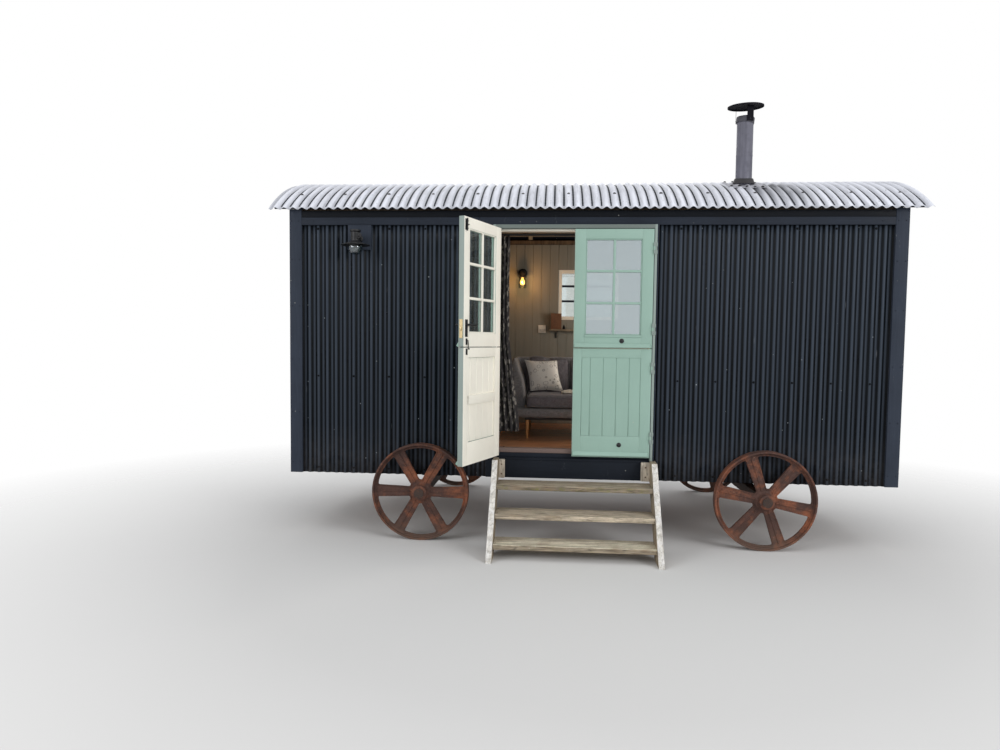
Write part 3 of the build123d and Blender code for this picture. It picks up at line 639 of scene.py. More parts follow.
def finish_drape():
    """Black cloth with a pale dapple, like leaves."""
    net = Finish("curtain cloth")
    where = net.attribute("cloth", 1)

    def stretched(turn=0.0, scale=(1.0, 1.0, 1.0), shift=(0.0, 0.0, 0.0)):
        return net.node("ShaderNodeMapping", None, {0: where, 1: shift, 2: (0, 0, turn), 3: scale})

    place = stretched()
    leaf = net.cells(1.0, stretched(0.6, (44.0, 19.0, 1.0))).under(0.36, 0.05)
    other = net.cells(1.0, stretched(-0.7, (50.0, 20.0, 1.0), (3.3, 1.2, 0))).under(0.34, 0.05)
    weave = net.noise(500.0, 2.0, 0.7, place)
    base = net.layers(
        None, (40, 38, 40), (weave, (58, 55, 55)),
        (leaf * net.noise(7.0, 2.0, 0.6, place).over(0.42, 0.06) * 0.7, (142, 136, 128)),
        (other * net.noise(5.0, 2.0, 0.6, place).under(0.55, 0.06) * 0.6, (112, 108, 102))
    )
    return net.surface(base, net.spread(weave, 0.3, 0.7, 0.86, 0.96), weave, 0.0008, 0.0, 0.2)


def circle(count):
    """Points evenly round a circle of radius 1."""
    turns = [2 * pi * n / count for n in range(count)]
    return [(cos(turn), sin(turn)) for turn in turns]


def lofted(rings, closed=False, caps=False):
    """A form skinned over rings of points. A ring may be a single point."""
    form = bmesh.new()
    rings = [[form.verts.new(spot) for spot in ring] for ring in rings]
    if caps:
        form.faces.new(rings[0])
        form.faces.new(rings[-1])
    for first, second in zip(rings, rings[1:] + rings[:closed]):
        count = max(len(first), len(second))
        for n in range(count):
            corners = [first[n % len(first)], first[(n + 1) % count % len(first)]]
            corners += [second[(n + 1) % count % len(second)], second[n % len(second)]]
            corners = list(dict.fromkeys(corners))
            if len(corners) > 2:
                form.faces.new(corners)
    return form


def chamfer(form, edges, offset, segments):
    bmesh.ops.bevel(form, geom=edges, offset=offset, segments=segments, affect="EDGES", profile=0.6)


def sliced(form, low, high, axis, count):
    """Cuts a form into equal lengths, so that it can be bent or stirred."""
    side = Vector([float(i == axis) for i in range(3)])
    for n in range(1, count):
        spot = low + side * ((high[axis] - low[axis]) * n / count)
        every = [*form.verts, *form.edges, *form.faces]
        bmesh.ops.bisect_plane(form, geom=every, plane_co=spot, plane_no=side)


def baked(piece):
    """The mesh of an object as its modifiers leave it."""
    bpy.context.view_layer.update()
    depsgraph = bpy.context.evaluated_depsgraph_get()
    return bpy.data.meshes.new_from_object(piece.evaluated_get(depsgraph), depsgraph=depsgraph)


def smoothed(mesh, angle=180.0):
    mesh.shade_smooth()
    if angle < 180.0:
        mesh.set_sharp_from_angle(angle=radians(angle))


def coated(mesh, finish, angle=180.0):
    """One finish all over a mesh."""
    mesh.materials.clear()
    mesh.materials.append(finish)
    mesh.polygons.foreach_set("material_index", [0] * len(mesh.polygons))
    smoothed(mesh, angle)


def thicken(piece, thickness, offset=0.0):
    thick = piece.modifiers.new("thickness", "SOLIDIFY")
    thick.thickness = thickness
    thick.offset = offset


def spin(degrees, axis):
    return Matrix.Rotation(radians(degrees), 4, axis)


def mm(*numbers):
    """An outline from its places in millimetres, two by two."""
    return [(a / 1000, b / 1000) for a, b in zip(numbers[::2], numbers[1::2])]


class Shape:
    """Gathers closed forms into one mesh, each form in its own finish."""

    def __init__(self, matrix=None):
        self.matrix = matrix or Matrix.Identity(4)
        self.points = []
        self.faces = []
        self.slots = []
        self.finishes = []

    def add(self, form, finish):
        """Takes a bmesh in local places. A finish may be chosen face by face."""
        bmesh.ops.recalc_face_normals(form, faces=form.faces)
        form.normal_update()
        form.verts.index_update()
        start = len(self.points)
        for face in form.faces:
            pick = finish(face) if callable(finish) else finish
            if pick not in self.finishes:
                self.finishes.append(pick)
            self.slots.append(self.finishes.index(pick))
        form.transform(self.matrix)
        turned = -1 if self.matrix.determinant() < 0 else 1
        self.points += [vert.co[:] for vert in form.verts]
        self.faces += [[start + vert.index for vert in face.verts][::turned] for face in form.faces]
        form.free()
        return self

    def block(self, low, high, finish, bevel=0.002, segments=2, step=0.0, stir=0.0, seed=0.0):
        """A bevelled board. It is cut at steps along its length, and stir moves its points a little."""
        form = bmesh.new()
        bmesh.ops.create_cube(form, size=1)
        low, high = Vector(low), Vector(high)
        size = high - low
        for vert in form.verts:
            vert.co = Vector([(low[i] + high[i]) / 2 + vert.co[i] * size[i] for i in range(3)])
        chamfer(form, form.edges, bevel, segments)
        if step:
            axis = list(size).index(max(size))
            sliced(form, low, high, axis, int(size[axis] / step))
            for vert in form.verts:
                spot = vert.co * 9.0 + Vector((seed, seed * 1.7, seed * 0.6))
                fine = vert.co * 41.0 + Vector((seed, 0, 0))
                vert.co += noise.noise_vector(spot) * stir + noise.noise_vector(fine) * stir * 0.5
        return self.add(form, finish)

    def turned(self, profile, finish, center=(0, 0, 0), axis="Z", steps=32, closed=False):
        """A profile of (radius, height) turned about an axis through center."""
        rings = []
        for radius, height in profile:
            around = circle(steps) if radius > 1e-6 else [(0, 0)]
            rings.append([(radius * a, radius * b, height) for a, b in around])
        form = lofted(rings, closed)
        if axis != "Z":
            form.transform(Matrix.Rotation(radians(90), 4, "X" if axis == "Y" else "Y"))
        form.transform(Matrix.Translation(center))
        return self.add(form, finish)

    def rod(self, points, radius, finish, sides=10, closed=False):
        """A round bar that follows points. The radius may be a list, one for each point."""
        points = [Vector(point) for point in points]
        radii = radius if isinstance(radius, list) else [radius] * len(points)
        rings = []
        across = None
        last = len(points) - 1
        for n, point in enumerate(points):
            before = points[n - 1] if n or closed else point
            after = points[(n + 1) % len(points)] if n < last or closed else point
            along = (after - before).normalized()
            if across is None:
                across = along.orthogonal()
            across = (across - along * across.dot(along)).normalized()
            other = along.cross(across)
            rings.append([point + (across * a + other * b) * radii[n] for a, b in circle(sides)])
        return self.add(lofted(rings, closed, not closed), finish)

    def piece(self, name, slot=None, body=HUT, smooth=38.0):
        """Makes the object, which rides on a body."""
        mesh = bpy.data.meshes.new(name)
        mesh.from_pydata(self.points, [], self.faces)
        for finish in self.finishes:
            mesh.materials.append(finish)
        mesh.polygons.foreach_set("material_index", self.slots)
        mesh.validate()
        smoothed(mesh, smooth)
        return settle(bpy.data.objects.new(name, mesh), body, slot)


def show(made):
    bpy.context.scene.collection.objects.link(made)


def settle(piece, body=HUT, slot=None):
    """Links a finished piece and lets it ride on its body."""
    if piece.name not in bpy.context.scene.collection.objects:
        show(piece)
    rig.ride(piece, body)
    if slot:
        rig.slot(piece, slot)
    return piece


def dress(name, finish):
    """A CAD node keeps its shape and gets a finish."""
    mesh = nodes[name].data
    mesh.materials.clear()
    mesh.materials.append(finish)


class Growth(Net):
    """A Geometry Nodes tree with named inputs. Its result is baked to a plain mesh."""

    KINDS = {
        float: "NodeSocketFloat", int: "NodeSocketInt", tuple: "NodeSocketVector",
        type(None): "NodeSocketObject"
    }

    def __init__(self, name, **sizes):
        super().__init__(bpy.data.node_groups.new(name, "GeometryNodeTree"))
        for way in ("INPUT", "OUTPUT"):
            self.tree.interface.new_socket("Geometry", in_out=way, socket_type="NodeSocketGeometry")
        self.sizes = {}
        for label, value in sizes.items():
            kind = self.KINDS.get(type(value), "NodeSocketMaterial")
            item = self.tree.interface.new_socket(label, in_out="INPUT", socket_type=kind)
            self.sizes[label] = (item.identifier, value)
        self.entry = self.tree.nodes.new("NodeGroupInput")

    def size(self, label):
        return Value(self, self.entry.outputs[label])

    def copies(self, points, label, **more):
        """Copies of a small form on points."""
        where = {"transform_space": "ORIGINAL"}
        form = self.node("GeometryNodeObjectInfo", where, {"Object": self.size(label)}, "Geometry")
        return self.node("GeometryNodeInstanceOnPoints", None, {"Points": points, "Instance": form, **more})

    def close(self, geometry):
        real = self.node("GeometryNodeRealizeInstances", None, {0: geometry})
        done = self.node("GeometryNodeSetMaterial", None, {"Geometry": real, "Material": self.size("Finish")})
        self.feed(self.tree.nodes.new("NodeGroupOutput").inputs[0], done)
        return self

    def bake(self, name, source=None, smooth=38.0, **changes):
        """The result as an object of its own, with some sizes changed."""
        made = bpy.data.objects.new(name, source or bpy.data.meshes.new(name))
        show(made)
        grown = made.modifiers.new("grown", "NODES")
        grown.node_group = self.tree
        for label, (identifier, value) in self.sizes.items():
            grown[identifier] = changes.get(label, value)
        mesh = baked(made)
        made.modifiers.clear()
        made.data = mesh
        mesh.name = name
        coated(mesh, changes.get("Finish", self.sizes["Finish"][1]), smooth)
        return made


def hidden_form(name, shape):
    """A small form that is copied many times and isn't itself a piece."""
    mesh = bpy.data.meshes.new(name)
    mesh.from_pydata(shape.points, [], shape.faces)
    return bpy.data.objects.new(name, mesh)


@cache
def sheet_tree(kind):
    """Corrugated sheet: flat, cut to the roof's curve, or bent to it."""
    place = dict(Left=0.0, Right=1.0, Bottom=0.0, Top=1.0, Face=0.0, Start=0.0, Radius=ROOF_RADIUS)
    place.update(Middle=middle_y, Axis=roof_axis, Outward=1.0, Columns=100, Rows=12)
    wave_sizes = dict(Pitch=0.0762, Depth=0.018, Dents=0.0012)
    net = Growth("corrugated " + kind, **place, **wave_sizes, Finish=stock("cladding_paint"))
    inputs = {"Size X": 1.0, "Size Y": 1.0, "Vertices X": net.size("Columns"), "Vertices Y": net.size("Rows")}
    grid = net.node("GeometryNodeMeshGrid", None, inputs)
    u, v, w = net.parts(net.node("GeometryNodeInputPosition"))
    along = net.size("Left") + (u + 0.5) * (net.size("Right") - net.size("Left"))
    swing = net.math("SINE", (along - net.size("Start")) / net.size("Pitch") * (2 * pi))
    spot = net.joined(along * 2.1, v * 3.7, net.size("Face") * 5.0)
    dent = net.node("ShaderNodeTexNoise", None, {"Vector": spot, "Scale": 1.3, "Detail": 2.0}, "Fac")
    wave = swing * net.size("Depth") * 0.5 + (dent - 0.5) * net.size("Dents") * 2.0
    bottom, top = net.size("Bottom"), net.size("Top")
    if kind == "gable":
        off = along - net.size("Middle")
        top = net.size("Axis") + net.math("SQRT", net.size("Radius") * net.size("Radius") - off * off)
    height = bottom + (v + 0.5) * (top - bottom)
    if kind == "roof":
        reach = net.size("Radius") + wave
        y = net.size("Middle") + reach * net.math("SINE", height)
        place = net.joined(along, y, net.size("Axis") + reach * net.math("COSINE", height))
    else:
        face = net.size("Face") + wave
        place = net.joined(face, along, height) if kind == "gable" else net.joined(along, face, height)
    # The wave's phase is kept as "crest". The roof and cladding paints use it for painted highlights and painted shade
    # on the waves, and for soot in the troughs.
    inputs = {"Geometry": grid, "Name": "crest", "Value": swing * net.size("Outward")}
    kept = net.node("GeometryNodeStoreNamedAttribute", {"data_type": "FLOAT"}, inputs)
    return net.close(net.node("GeometryNodeSetPosition", None, {"Geometry": kept, "Position": place}))


def sheet(name, kind, slot, thickness=0.0016, flip=False, **sizes):
    """One corrugated sheet with its thickness."""
    sizes["Columns"] = int((sizes["Right"] - sizes["Left"]) / settings().wave_pitch * 8) + 1
    sizes.setdefault("Depth", settings().wave_depth)
    made = sheet_tree(kind).bake(name, smooth=180.0, Pitch=settings().wave_pitch, **sizes)
    if flip:
        made.data.flip_normals()
    thicken(made, thickness)
    return settle(made, HUT, slot)


@cache
def fastener_tree():
    """Screws or bolts on marked points, each facing out of its surface."""
    net = Growth("fasteners", Head=None, Size=1.0, Spread=0.12, Seed=4, Finish=stock("black_iron"))
    kind = {"data_type": "FLOAT_VECTOR"}
    facing = net.node("GeometryNodeInputNamedAttribute", kind, {"Name": "facing"}, "Attribute")
    turn = net.node("FunctionNodeAlignRotationToVector", {"axis": "Z"}, {"Vector": facing})
    inputs = {2: 1.0 - net.size("Spread"), 3: 1.0 + net.size("Spread"), "Seed": net.size("Seed")}
    scale = net.node("FunctionNodeRandomValue", {"data_type": "FLOAT"}, inputs, 1) * net.size("Size")
    return net.close(net.copies(net.size("Geometry"), "Head", Rotation=turn, Scale=scale))


def fasteners(name, spots, finish, size=1.0, slot=None):
    """Screw heads at (place, facing) pairs, each a dome on its washer."""
    head = Shape()
    profile = mm(0, -1, 11, -1, 11, 1.2, 7, 1.8, 6.2, 4.2)
    head.turned([*profile, (0.0035, 0.006), (0, 0.0064)], None, steps=10)
    mesh = bpy.data.meshes.new(name + " points")
    mesh.from_pydata([place for place, facing in spots], [], [])
    layer = mesh.attributes.new("facing", "FLOAT_VECTOR", "POINT")
    for n, (place, facing) in enumerate(spots):
        layer.data[n].vector = facing
    changes = {"Head": hidden_form("screw", head), "Size": size, "Finish": finish}
    return settle(fastener_tree().bake(name, mesh, 40.0, **changes), HUT, slot)


@cache
def row_tree():
    """Equal boards side by side, each a touch out of line with the next."""
    nothing = (0.0, 0.0, 0.0)
    sizes = dict(Board=None, Count=4, First=nothing, Step=(0.1, 0.0, 0.0), Uneven=nothing, Seed=3)
    net = Growth("row of boards", **sizes, Finish=stock("black_iron"))
    inputs = {"Count": net.size("Count"), "Start Location": net.size("First"), "Offset": net.size("Step")}
    line = net.node("GeometryNodeMeshLine", {"mode": "OFFSET", "count_mode": "TOTAL"}, inputs)
    low = net.node("ShaderNodeVectorMath", {"operation": "SCALE"}, {0: net.size("Uneven"), "Scale": -1.0})
    inputs = {0: low, 1: net.size("Uneven"), "Seed": net.size("Seed")}
    shift = net.node("FunctionNodeRandomValue", {"data_type": "FLOAT_VECTOR"}, inputs, 0)
    moved = net.node("GeometryNodeSetPosition", None, {"Geometry": line, "Offset": shift})
    return net.close(net.copies(moved, "Board"))


def boarding(name, slot, finish, low, high, axis=0, width=0.094, gap=0.0006, bevel=0.0022, uneven=0.0004):
    """A row of boards that fills the space from low to high."""
    low, high = Vector(low), Vector(high)
    size = high - low
    count = round(size[axis] / width)
    step = size[axis] / count
    size[axis] = step - gap
    board = Shape().block((0, 0, 0), size, None, bevel, 1)
    changes = {"Board": hidden_form("board", board), "Count": count, "First": tuple(low), "Finish": finish}
    changes.update(Step=tuple(step * (i == axis) for i in range(3)), Uneven=(0.0, uneven, 0.0))
    return settle(row_tree().bake(name, **changes), HUT, slot)


def at(name, axis, end):
    """One side of a CAD node's box."""
    return boxes[name][end]["XYZ".index(axis)]


class HUT_OT_roof(Operator):
    """Curved corrugated roof with its rows of screws, over its bent boards"""

    bl_idname = "hut.roof"
    bl_label = "Roof"

    def execute(self, context):
        left, right = at("roof_sheet", "X", 0), at("roof_sheet", "X", 1)
        pitch = settings().wave_pitch
        angle = asin((at("roof_sheet", "Y", 1) - middle_y - 0.0055) / ROOF_RADIUS)
        sizes = dict(
            Left=left, Right=right, Bottom=-angle, Top=angle, Start=left + pitch / 2, Dents=0.001, Rows=40
        )
        sizes.update(Radius=ROOF_RADIUS - 0.0018, Depth=settings().wave_depth + 0.0036)
        roof = sheet("roof_sheets", "roof", "roof_metal", 0.0026, Finish=stock("roof_paint"), **sizes)
        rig.replaces(roof, "roof_sheet")
        dress("roof_boards", stock("board_paint", "X", 0.42))
        spots = []
        for degrees in (-29.5, -3.0, 11.0, 29.5):
            turn = radians(degrees)
            facing = Vector((0, sin(turn), cos(turn)))
            for n in range(2, int((right - left) / pitch), 5):
                foot = Vector((left + pitch * (n + 0.75), middle_y, roof_axis))
                spots.append((foot + facing * (ROOF_RADIUS + 0.0098), facing))
        fasteners(
            "roof_screws", spots, stock("plain", "dull screw", 74, 72, 74, 0.6, 0.3), 1.25, "roof_metal"
        )
        return {"FINISHED"}


def flat(name, node, left, right, bottom, top, **more):
    low, high = boxes[node]
    more.update(Left=left, Right=right, Bottom=bottom, Top=top)
    start = low.x + settings().wave_pitch / 2
    return sheet(name, "flat", "cladding", Face=(low.y + high.y) / 2, Start=start, **more)


def screws(pitch):
    spots = []
    for node, end, out in (
        ("front_cladding_left", 0, -1), ("front_cladding_right", 0, -1), ("rear_cladding", 1, 1)
    ):
        low, high = boxes[node]
        face = at(node, "Y", end) + out * 0.0003
        for n in range(2, int((high.x - low.x) / pitch), 4):
            x = low.x + pitch * (n + (0.25 if out < 0 else 0.75))
            beside_window = out < 0 or not -0.3 < x < 0.5
            for z in (0.575, 1.36, 2.598):
                if beside_window or z < 1.4:
                    spots.append(((x, face, z), (0, out, 0)))
    for node, end, out in (("end_cladding_left", 0, -1), ("end_cladding_right", 1, 1)):
        for n in range(2, 26, 4):
            y = at(node, "Y", 0) + pitch * (n + (0.25 if out > 0 else 0.75))
            for z in (0.575, 1.36, 2.2, 2.72):
                spots.append(((at(node, "X", end) + out * 0.0003, y, z), (out, 0, 0)))
    fasteners("cladding_screws", spots, stock("cladding_paint"), 0.85, "cladding")


class HUT_OT_cladding(Operator):
    """Corrugated sheets on the four walls, cut round the window and to the roof's curve"""

    bl_idname = "hut.cladding"
    bl_label = "Cladding"


    def execute(self, context):
        for node in ("front_cladding_left", "front_cladding_right"):
            low, high = boxes[node]
            made = flat(node + "_sheet", node, low.x, high.x, low.z, high.z, Rows=14, Outward=-1.0)
            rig.replaces(made, node)
        node = "rear_cladding"
        low, high = boxes[node]
        cut_low, cut_high = boxes["rear_window_frame"]
        spans = [
            ("left", low.x, cut_low.x, low.z, high.z), ("right", cut_high.x, high.x, low.z, high.z),
            ("under_window", cut_low.x, cut_high.x, low.z, cut_low.z),
            ("over_window", cut_low.x, cut_high.x, cut_high.z, high.z)
        ]
        for label, *span in spans:
            made = flat("rear_sheet_" + label, node, *span, flip=True, Rows=int((span[3] - span[2]) * 6) + 2)
            if label == "left":
                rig.replaces(made, node)
        for side, out in (("left", -1.0), ("right", 1.0)):
            node = "end_cladding_" + side
            low, high = boxes[node]
            sizes = dict(
                Left=low.y, Right=high.y, Bottom=low.z, Face=(low.x + high.x) / 2, Start=low.y, Rows=16
            )
            sizes.update(Radius=BOARD_INNER - 0.001, Outward=out)
            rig.replaces(sheet(node + "_sheet", "gable", "cladding", flip=out < 0, **sizes), node)
        screws(settings().wave_pitch)
        return {"FINISHED"}


def corner(x_side, y_side, spots):
    """Two boards nailed together round a corner of the hut."""
    node = "corner_board_" + ("front", "rear")[y_side] + "_" + ("left", "right")[x_side]
    low, high = boxes[node]
    thin, joint = 0.0217, 0.0002
    face = (high.y - thin, high.y) if y_side else (low.y, low.y + thin)
    side = (high.x - thin, high.x) if x_side else (low.x, low.x + thin)
    rest = (low.y, face[0] - joint) if y_side else (face[1] + joint, high.y)
    shape = Shape()
    how = stock("board_paint", "Z", 1.0), 0.003, 2, 0.28, 0.0007
    shape.block((low.x, face[0], low.z), (high.x, face[1], high.z), *how, 2.0 * x_side)
    shape.block((side[0], rest[0], low.z), (side[1], rest[1], high.z), *how, 5.0 * x_side)
    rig.replaces(shape.piece(node + "_boards", "trim_paint"), node)
    out = 1 if y_side else -1
    for z in (0.62, 1.05, 1.5, 1.95, 2.34, 2.66):
        for x in (low.x + 0.022, high.x - 0.022):
            spots.append(((x + 0.004 * sin(z * 31 + x * 9), face[y_side] + out * 0.0004, z), (0, out, 0)))


def fascia(node, y, out, spots):
    """A board in two lengths, with a strip set back above it, both painted darker as shade under the eave."""
    low, high = boxes[node]
    # Painted shade: the board at 0.68 of the trim paint. Painted shadow: the strip above it at 0.16, under the eave.
    level, shaded = stock("board_paint", "X", 0.68), stock("board_paint", "X", 0.16)
    shape = Shape()
    joint, split, inset = -0.9, low.z + 0.062, 0.004
    strip = (low.y + inset * (y == 0), high.y - inset * (y == 1))
    for n, (x_low, x_high) in enumerate(((low.x, joint - 0.001), (joint + 0.001, high.x))):
        shape.block((x_low, low.y, low.z), (x_high, high.y, split), level, 0.003, 2, 0.3, 0.0008, 3.0 * n + y)
        start, end = (x_low, strip[0], split + 0.0004), (x_high, strip[1], high.z)
        shape.block(start, end, shaded, 0.002, 2, 0.3, 0.0005, 4.0 * n + y)
    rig.replaces(shape.piece(node + "_boards", "trim_paint"), node)
    for n in range(9):
        x = low.x + 0.1 + n * (high.x - low.x - 0.2) / 8
        spots.append(((x, at(node, "Y", y) + out * 0.0004, low.z + 0.03), (0, out, 0)))


def beam():
    low, high = boxes["sill_panel"]
    panel = Shape()
    dark = stock("board_paint", "X", 0.42)
    front = low.y + 0.0195
    panel.block((low.x + 0.03, front + 0.0006, low.z), (high.x - 0.03, high.y, high.z), dark, 0.001)
    start, end = (low.x + 0.1, low.y + 0.004, low.z), (high.x - 0.1, front, high.z - 0.02)
    panel.block(start, end, dark, 0.003, 2, 0.2, 0.0009, 7.0)
    for x_low, x_high in ((low.x, low.x + 0.098), (high.x - 0.098, high.x)):
        panel.block((x_low, low.y, low.z), (x_high, front, high.z), dark, 0.003, 2, 0.1, 0.0006, x_low)
    start, end = (low.x + 0.0985, low.y, high.z - 0.0195), (high.x - 0.0985, front, high.z)
    panel.block(start, end, dark, 0.002)
    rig.replaces(panel.piece("doorway_beam", "trim_paint"), "sill_panel")


class HUT_OT_boards(Operator):
    """Painted corner boards, fascias and the beam under the doorway"""

    bl_idname = "hut.boards"
    bl_label = "Outside boards"

    def execute(self, context):
        spots = []
        for x_side in (0, 1):
            for y_side in (0, 1):
                corner(x_side, y_side, spots)
        for node, y, out in (("front_fascia", 0, -1), ("rear_fascia", 1, 1)):
            fascia(node, y, out, spots)
        fasteners("board_screws", spots, stock("board_paint", "Z", 0.8), 0.55, "trim_paint")
        beam()
        board = Shape()
        board.block(*boxes["lantern_board"], stock("board_paint", "Z", 1.0), 0.003, 2, 0.07, 0.0006, 4.0)
        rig.replaces(board.piece("lantern_back_board", "trim_paint"), "lantern_board")
        return {"FINISHED"}


LEAF_WIDTH = 0.636
LEAF_DEPTH = 0.044
STILE = 0.091
PANE_MORE = 0.018


def leaf_matrix(side):
    """Leaf places: u runs from the hinge across the leaf, v from its outer face inwards, z up."""
    pivot = hinge["left_door" if side < 0 else "right_door"]
    face = pivot.y + 0.008
    flat = Matrix(((-side, 0, 0, pivot.x - side * 0.0025), (0, 1, 0, face), (0, 0, 1, 0), (0, 0, 0, 1)))
    if side > 0:
        return flat
    move = Matrix.Translation((pivot.x, pivot.y, 0))
    return move @ Matrix.Rotation(-TURN_OPEN, 4, "Z") @ move.inverted() @ flat


def leaf_paint(along):
    """Sage outside, a greyer sage on the free edge and on faces that look up, and cream on what shows from the room.
    """
    sage, cream, faded = (stock("door_paint", side, along) for side in ("sage", "cream", "edge"))

    def pick(face):
        spot = face.calc_center_median()
        reveal = spot.y > 0.024 and 0.05 < spot.x < LEAF_WIDTH - 0.05 and abs(face.normal.y) < 0.5
        if face.normal.y > 0.5 or reveal:
            return cream
        return faded if spot.x > LEAF_WIDTH - 0.002 or face.normal.z > 0.9 else sage

    return pick


def barrel(hole, low, high):
    """Half the outline of a hinge's knuckle."""
    return [
        (hole, low), (0.0066, low), (0.007, low + 0.001), (0.007, high - 0.001), (0.0066, high), (hole, high)
    ]


def leaf(side, stile, lock, *heights):
    """Stiles and rails of a leaf. The heights are the edges of its rails."""
    low, sill, head, high = heights
    upright, level = leaf_paint("Z"), leaf_paint("X")
    shape = Shape(leaf_matrix(side))
    for u_low, u_high, more in ((0, stile, 0), (lock, LEAF_WIDTH, 3)):
        ends = (u_low, 0, low), (u_high, LEAF_DEPTH, high)
        shape.block(*ends, upright, 0.0016, 2, 0.2, 0.0003, side + more)
    for z_low, z_high, more in ((low, sill, 5), (head, high, 7)):
        ends = (stile + 0.0001, 0, z_low), (lock - 0.0001, LEAF_DEPTH, z_high)
        shape.block(*ends, level, 0.0014, 2, 0.2, 0.0003, side + more)
    return shape, upright, level


def fit(shape, drip, heights, upright, level):
    """A weather board with a sloping top and a groove under its nose, and two knuckles."""
    outline = mm(0, 0, -13, 0, -14, 4, -19.5, 4, -19.5, 11, -3.5, 37, 0, 37)
    form = lofted([[(u, v, drip + w) for v, w in outline] for u in (0.015, LEAF_WIDTH - 0.008)], False, True)
    chamfer(form, [edge for edge in form.edges if edge.calc_length() > 0.3], 0.0014, 2)
    shape.add(form, level)
    for z in heights:
        low, high = z + 0.0305, z + 0.0595
        shape.turned(barrel(0.0034, low, high), upright, (-0.0025, -0.008, 0), steps=16, closed=True)
        shape.block((0.0035, -0.0024, low), (0.024, 0.0002, high), upright, 0.0005, 1)
    return shape


def lower(side):
    low, high = at("right_lower_door", "Z", 0), at("right_lower_door", "Z", 1)
    sill, head = low + 0.175, high - 0.075
    start, lock, depth = 0.086, LEAF_WIDTH - 0.07, LEAF_DEPTH
    shape, upright, level = leaf(side, start, lock, low, sill, head, high)
    start += 0.0001
    middle = (sill + head) / 2
    shape.block((start, 0.0265, middle - 0.035), (lock - 0.0001, depth, middle + 0.035), level)
    shape.block((start, 0.0265, sill), (STILE, depth, head), upright)
    shape.block((LEAF_WIDTH - STILE, 0.0265, sill), (lock - 0.0001, depth, head), upright)
    joints = [0.086, 0.178, 0.283, 0.389, 0.495, lock]
    for n, (u_low, u_high) in enumerate(zip(joints, joints[1:])):
        ends = (u_low + 0.0002, 0.0014, sill - 0.002), (u_high - 0.0002, 0.0275, head + 0.002)
        shape.block(*ends, upright, 0.004, 1, 0.2, 0.0002, n + side)
    return fit(shape, low + 0.008, (low + 0.12, high - 0.2), upright, level)


def upper(side):
    low, high = at("right_upper_door", "Z", 0), at("right_upper_door", "Z", 1)
    pane_low, pane_high = at("right_door_glass", "Z", 0), at("right_door_glass", "Z", 1) + PANE_MORE
    lock = LEAF_WIDTH - STILE
    shape, upright, level = leaf(side, STILE, lock, low, pane_low, pane_high, high)
    bar, bead = 0.0098, 0.009
    middle = LEAF_WIDTH / 2 - 0.0035
    for v_low, v_high in ((0.005, 0.0186), (0.0254, 0.04)):
        shape.block((middle - bar, v_low, pane_low), (middle + bar, v_high, pane_high), upright, 0.0045, 3)
        for n in (1, 2):
            z = pane_low + (pane_high - pane_low) * n / 3
            shape.block((STILE, v_low + 0.0002, z - bar), (lock, v_high - 0.0002, z + bar), level, 0.0045, 3)
        for u_low, u_high in ((STILE, STILE + bead), (lock - bead, lock)):
            shape.block((u_low, v_low, pane_low), (u_high, v_high, pane_high), upright, 0.0035, 2)
        for z_low, z_high in ((pane_low, pane_low + bead), (pane_high - bead, pane_high)):
            shape.block((STILE, v_low, z_low), (lock, v_high, z_high), level, 0.0035, 2)
    shape.block(
        (STILE - 0.004, -0.006, pane_low - 0.018), (lock + 0.004, 0.004, pane_low - 0.001), level, 0.003
    )
    return fit(shape, low, (low + 0.11, high - 0.2), upright, level)


def door_frame():
    low, high = boxes["door_frame"]
    # The frame's sage parts take the greyer edge paint as painted shade from the roof over the doorway.
    faded, cream, dark = stock("door_paint", "edge", "Z"), stock(
        "door_paint", "cream", "Z"
    ), stock("board_paint", "Z", 0.7)
    face = hinge["left_door"].y + 0.008
    stop = face + LEAF_DEPTH + 0.005
    left, right = low.x + 0.034, high.x - 0.034
    head = high.z - 0.032
    shape = Shape()

    def pick(part):
        return cream if part.normal.y > 0.5 or part.calc_center_median().y > stop + 0.02 else faded

    # Painted shadow: the head's outer faces take the edge paint at half level, as shade under the roof.
    def over(part):
        return cream if part.normal.y > 0.5 else stock("door_paint", "edge", "X", 0.5)

    trim = 0.014
    jambs = [(low.x + trim, left, pick), (right, high.x - trim, pick)]
    jambs += [(low.x, low.x + trim - 0.0004, dark), (high.x - trim + 0.0004, high.x, dark)]
    for x_low, x_high, finish in jambs:
        shape.block((x_low, face, low.z), (x_high, high.y, high.z), finish, 0.0025, 2, 0.25, 0.0004, x_low)
    start, end = (left + 0.0001, face, head), (right - 0.0001, high.y, high.z)
    shape.block(start, end, over, 0.0025, 2, 0.25, 0.0004, 3)
    for x_low, x_high in ((left, left + 0.012), (right - 0.012, right)):
        shape.block((x_low, stop, at("door_sill", "Z", 1)), (x_high, high.y, head), pick)
    shape.block((left + 0.0121, stop, head - 0.012), (right - 0.0121, high.y, head), cream)
    for side, body in ((-1, "left_door"), (1, "right_door")):
        x, y = hinge[body].x, hinge[body].y
        for z in (0.845, 1.42, 1.736, at("right_upper_door", "Z", 1) - 0.2):
            for z_low in (z, z + 0.06):
                shape.turned(barrel(0, z_low, z_low + 0.03), faded, (x, y, 0), steps=16)
                plate = sorted((x + side * 0.004, x + side * 0.025))
                ends = (plate[0], y + 0.0056, z_low), (plate[1], y + 0.0081, z_low + 0.03)
                shape.block(*ends, faded, 0.0005, 1)
            shape.rod([(x, y, z + 0.001), (x, y, z + 0.089)], 0.003, faded)
            knob = mm(0, 89, 5.5, 90, 5, 94, 0, 96)
            shape.turned(knob, faded, (x, y, z), steps=12)
    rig.replaces(shape.piece("door_frame_boards", "door_paint"), "door_frame")


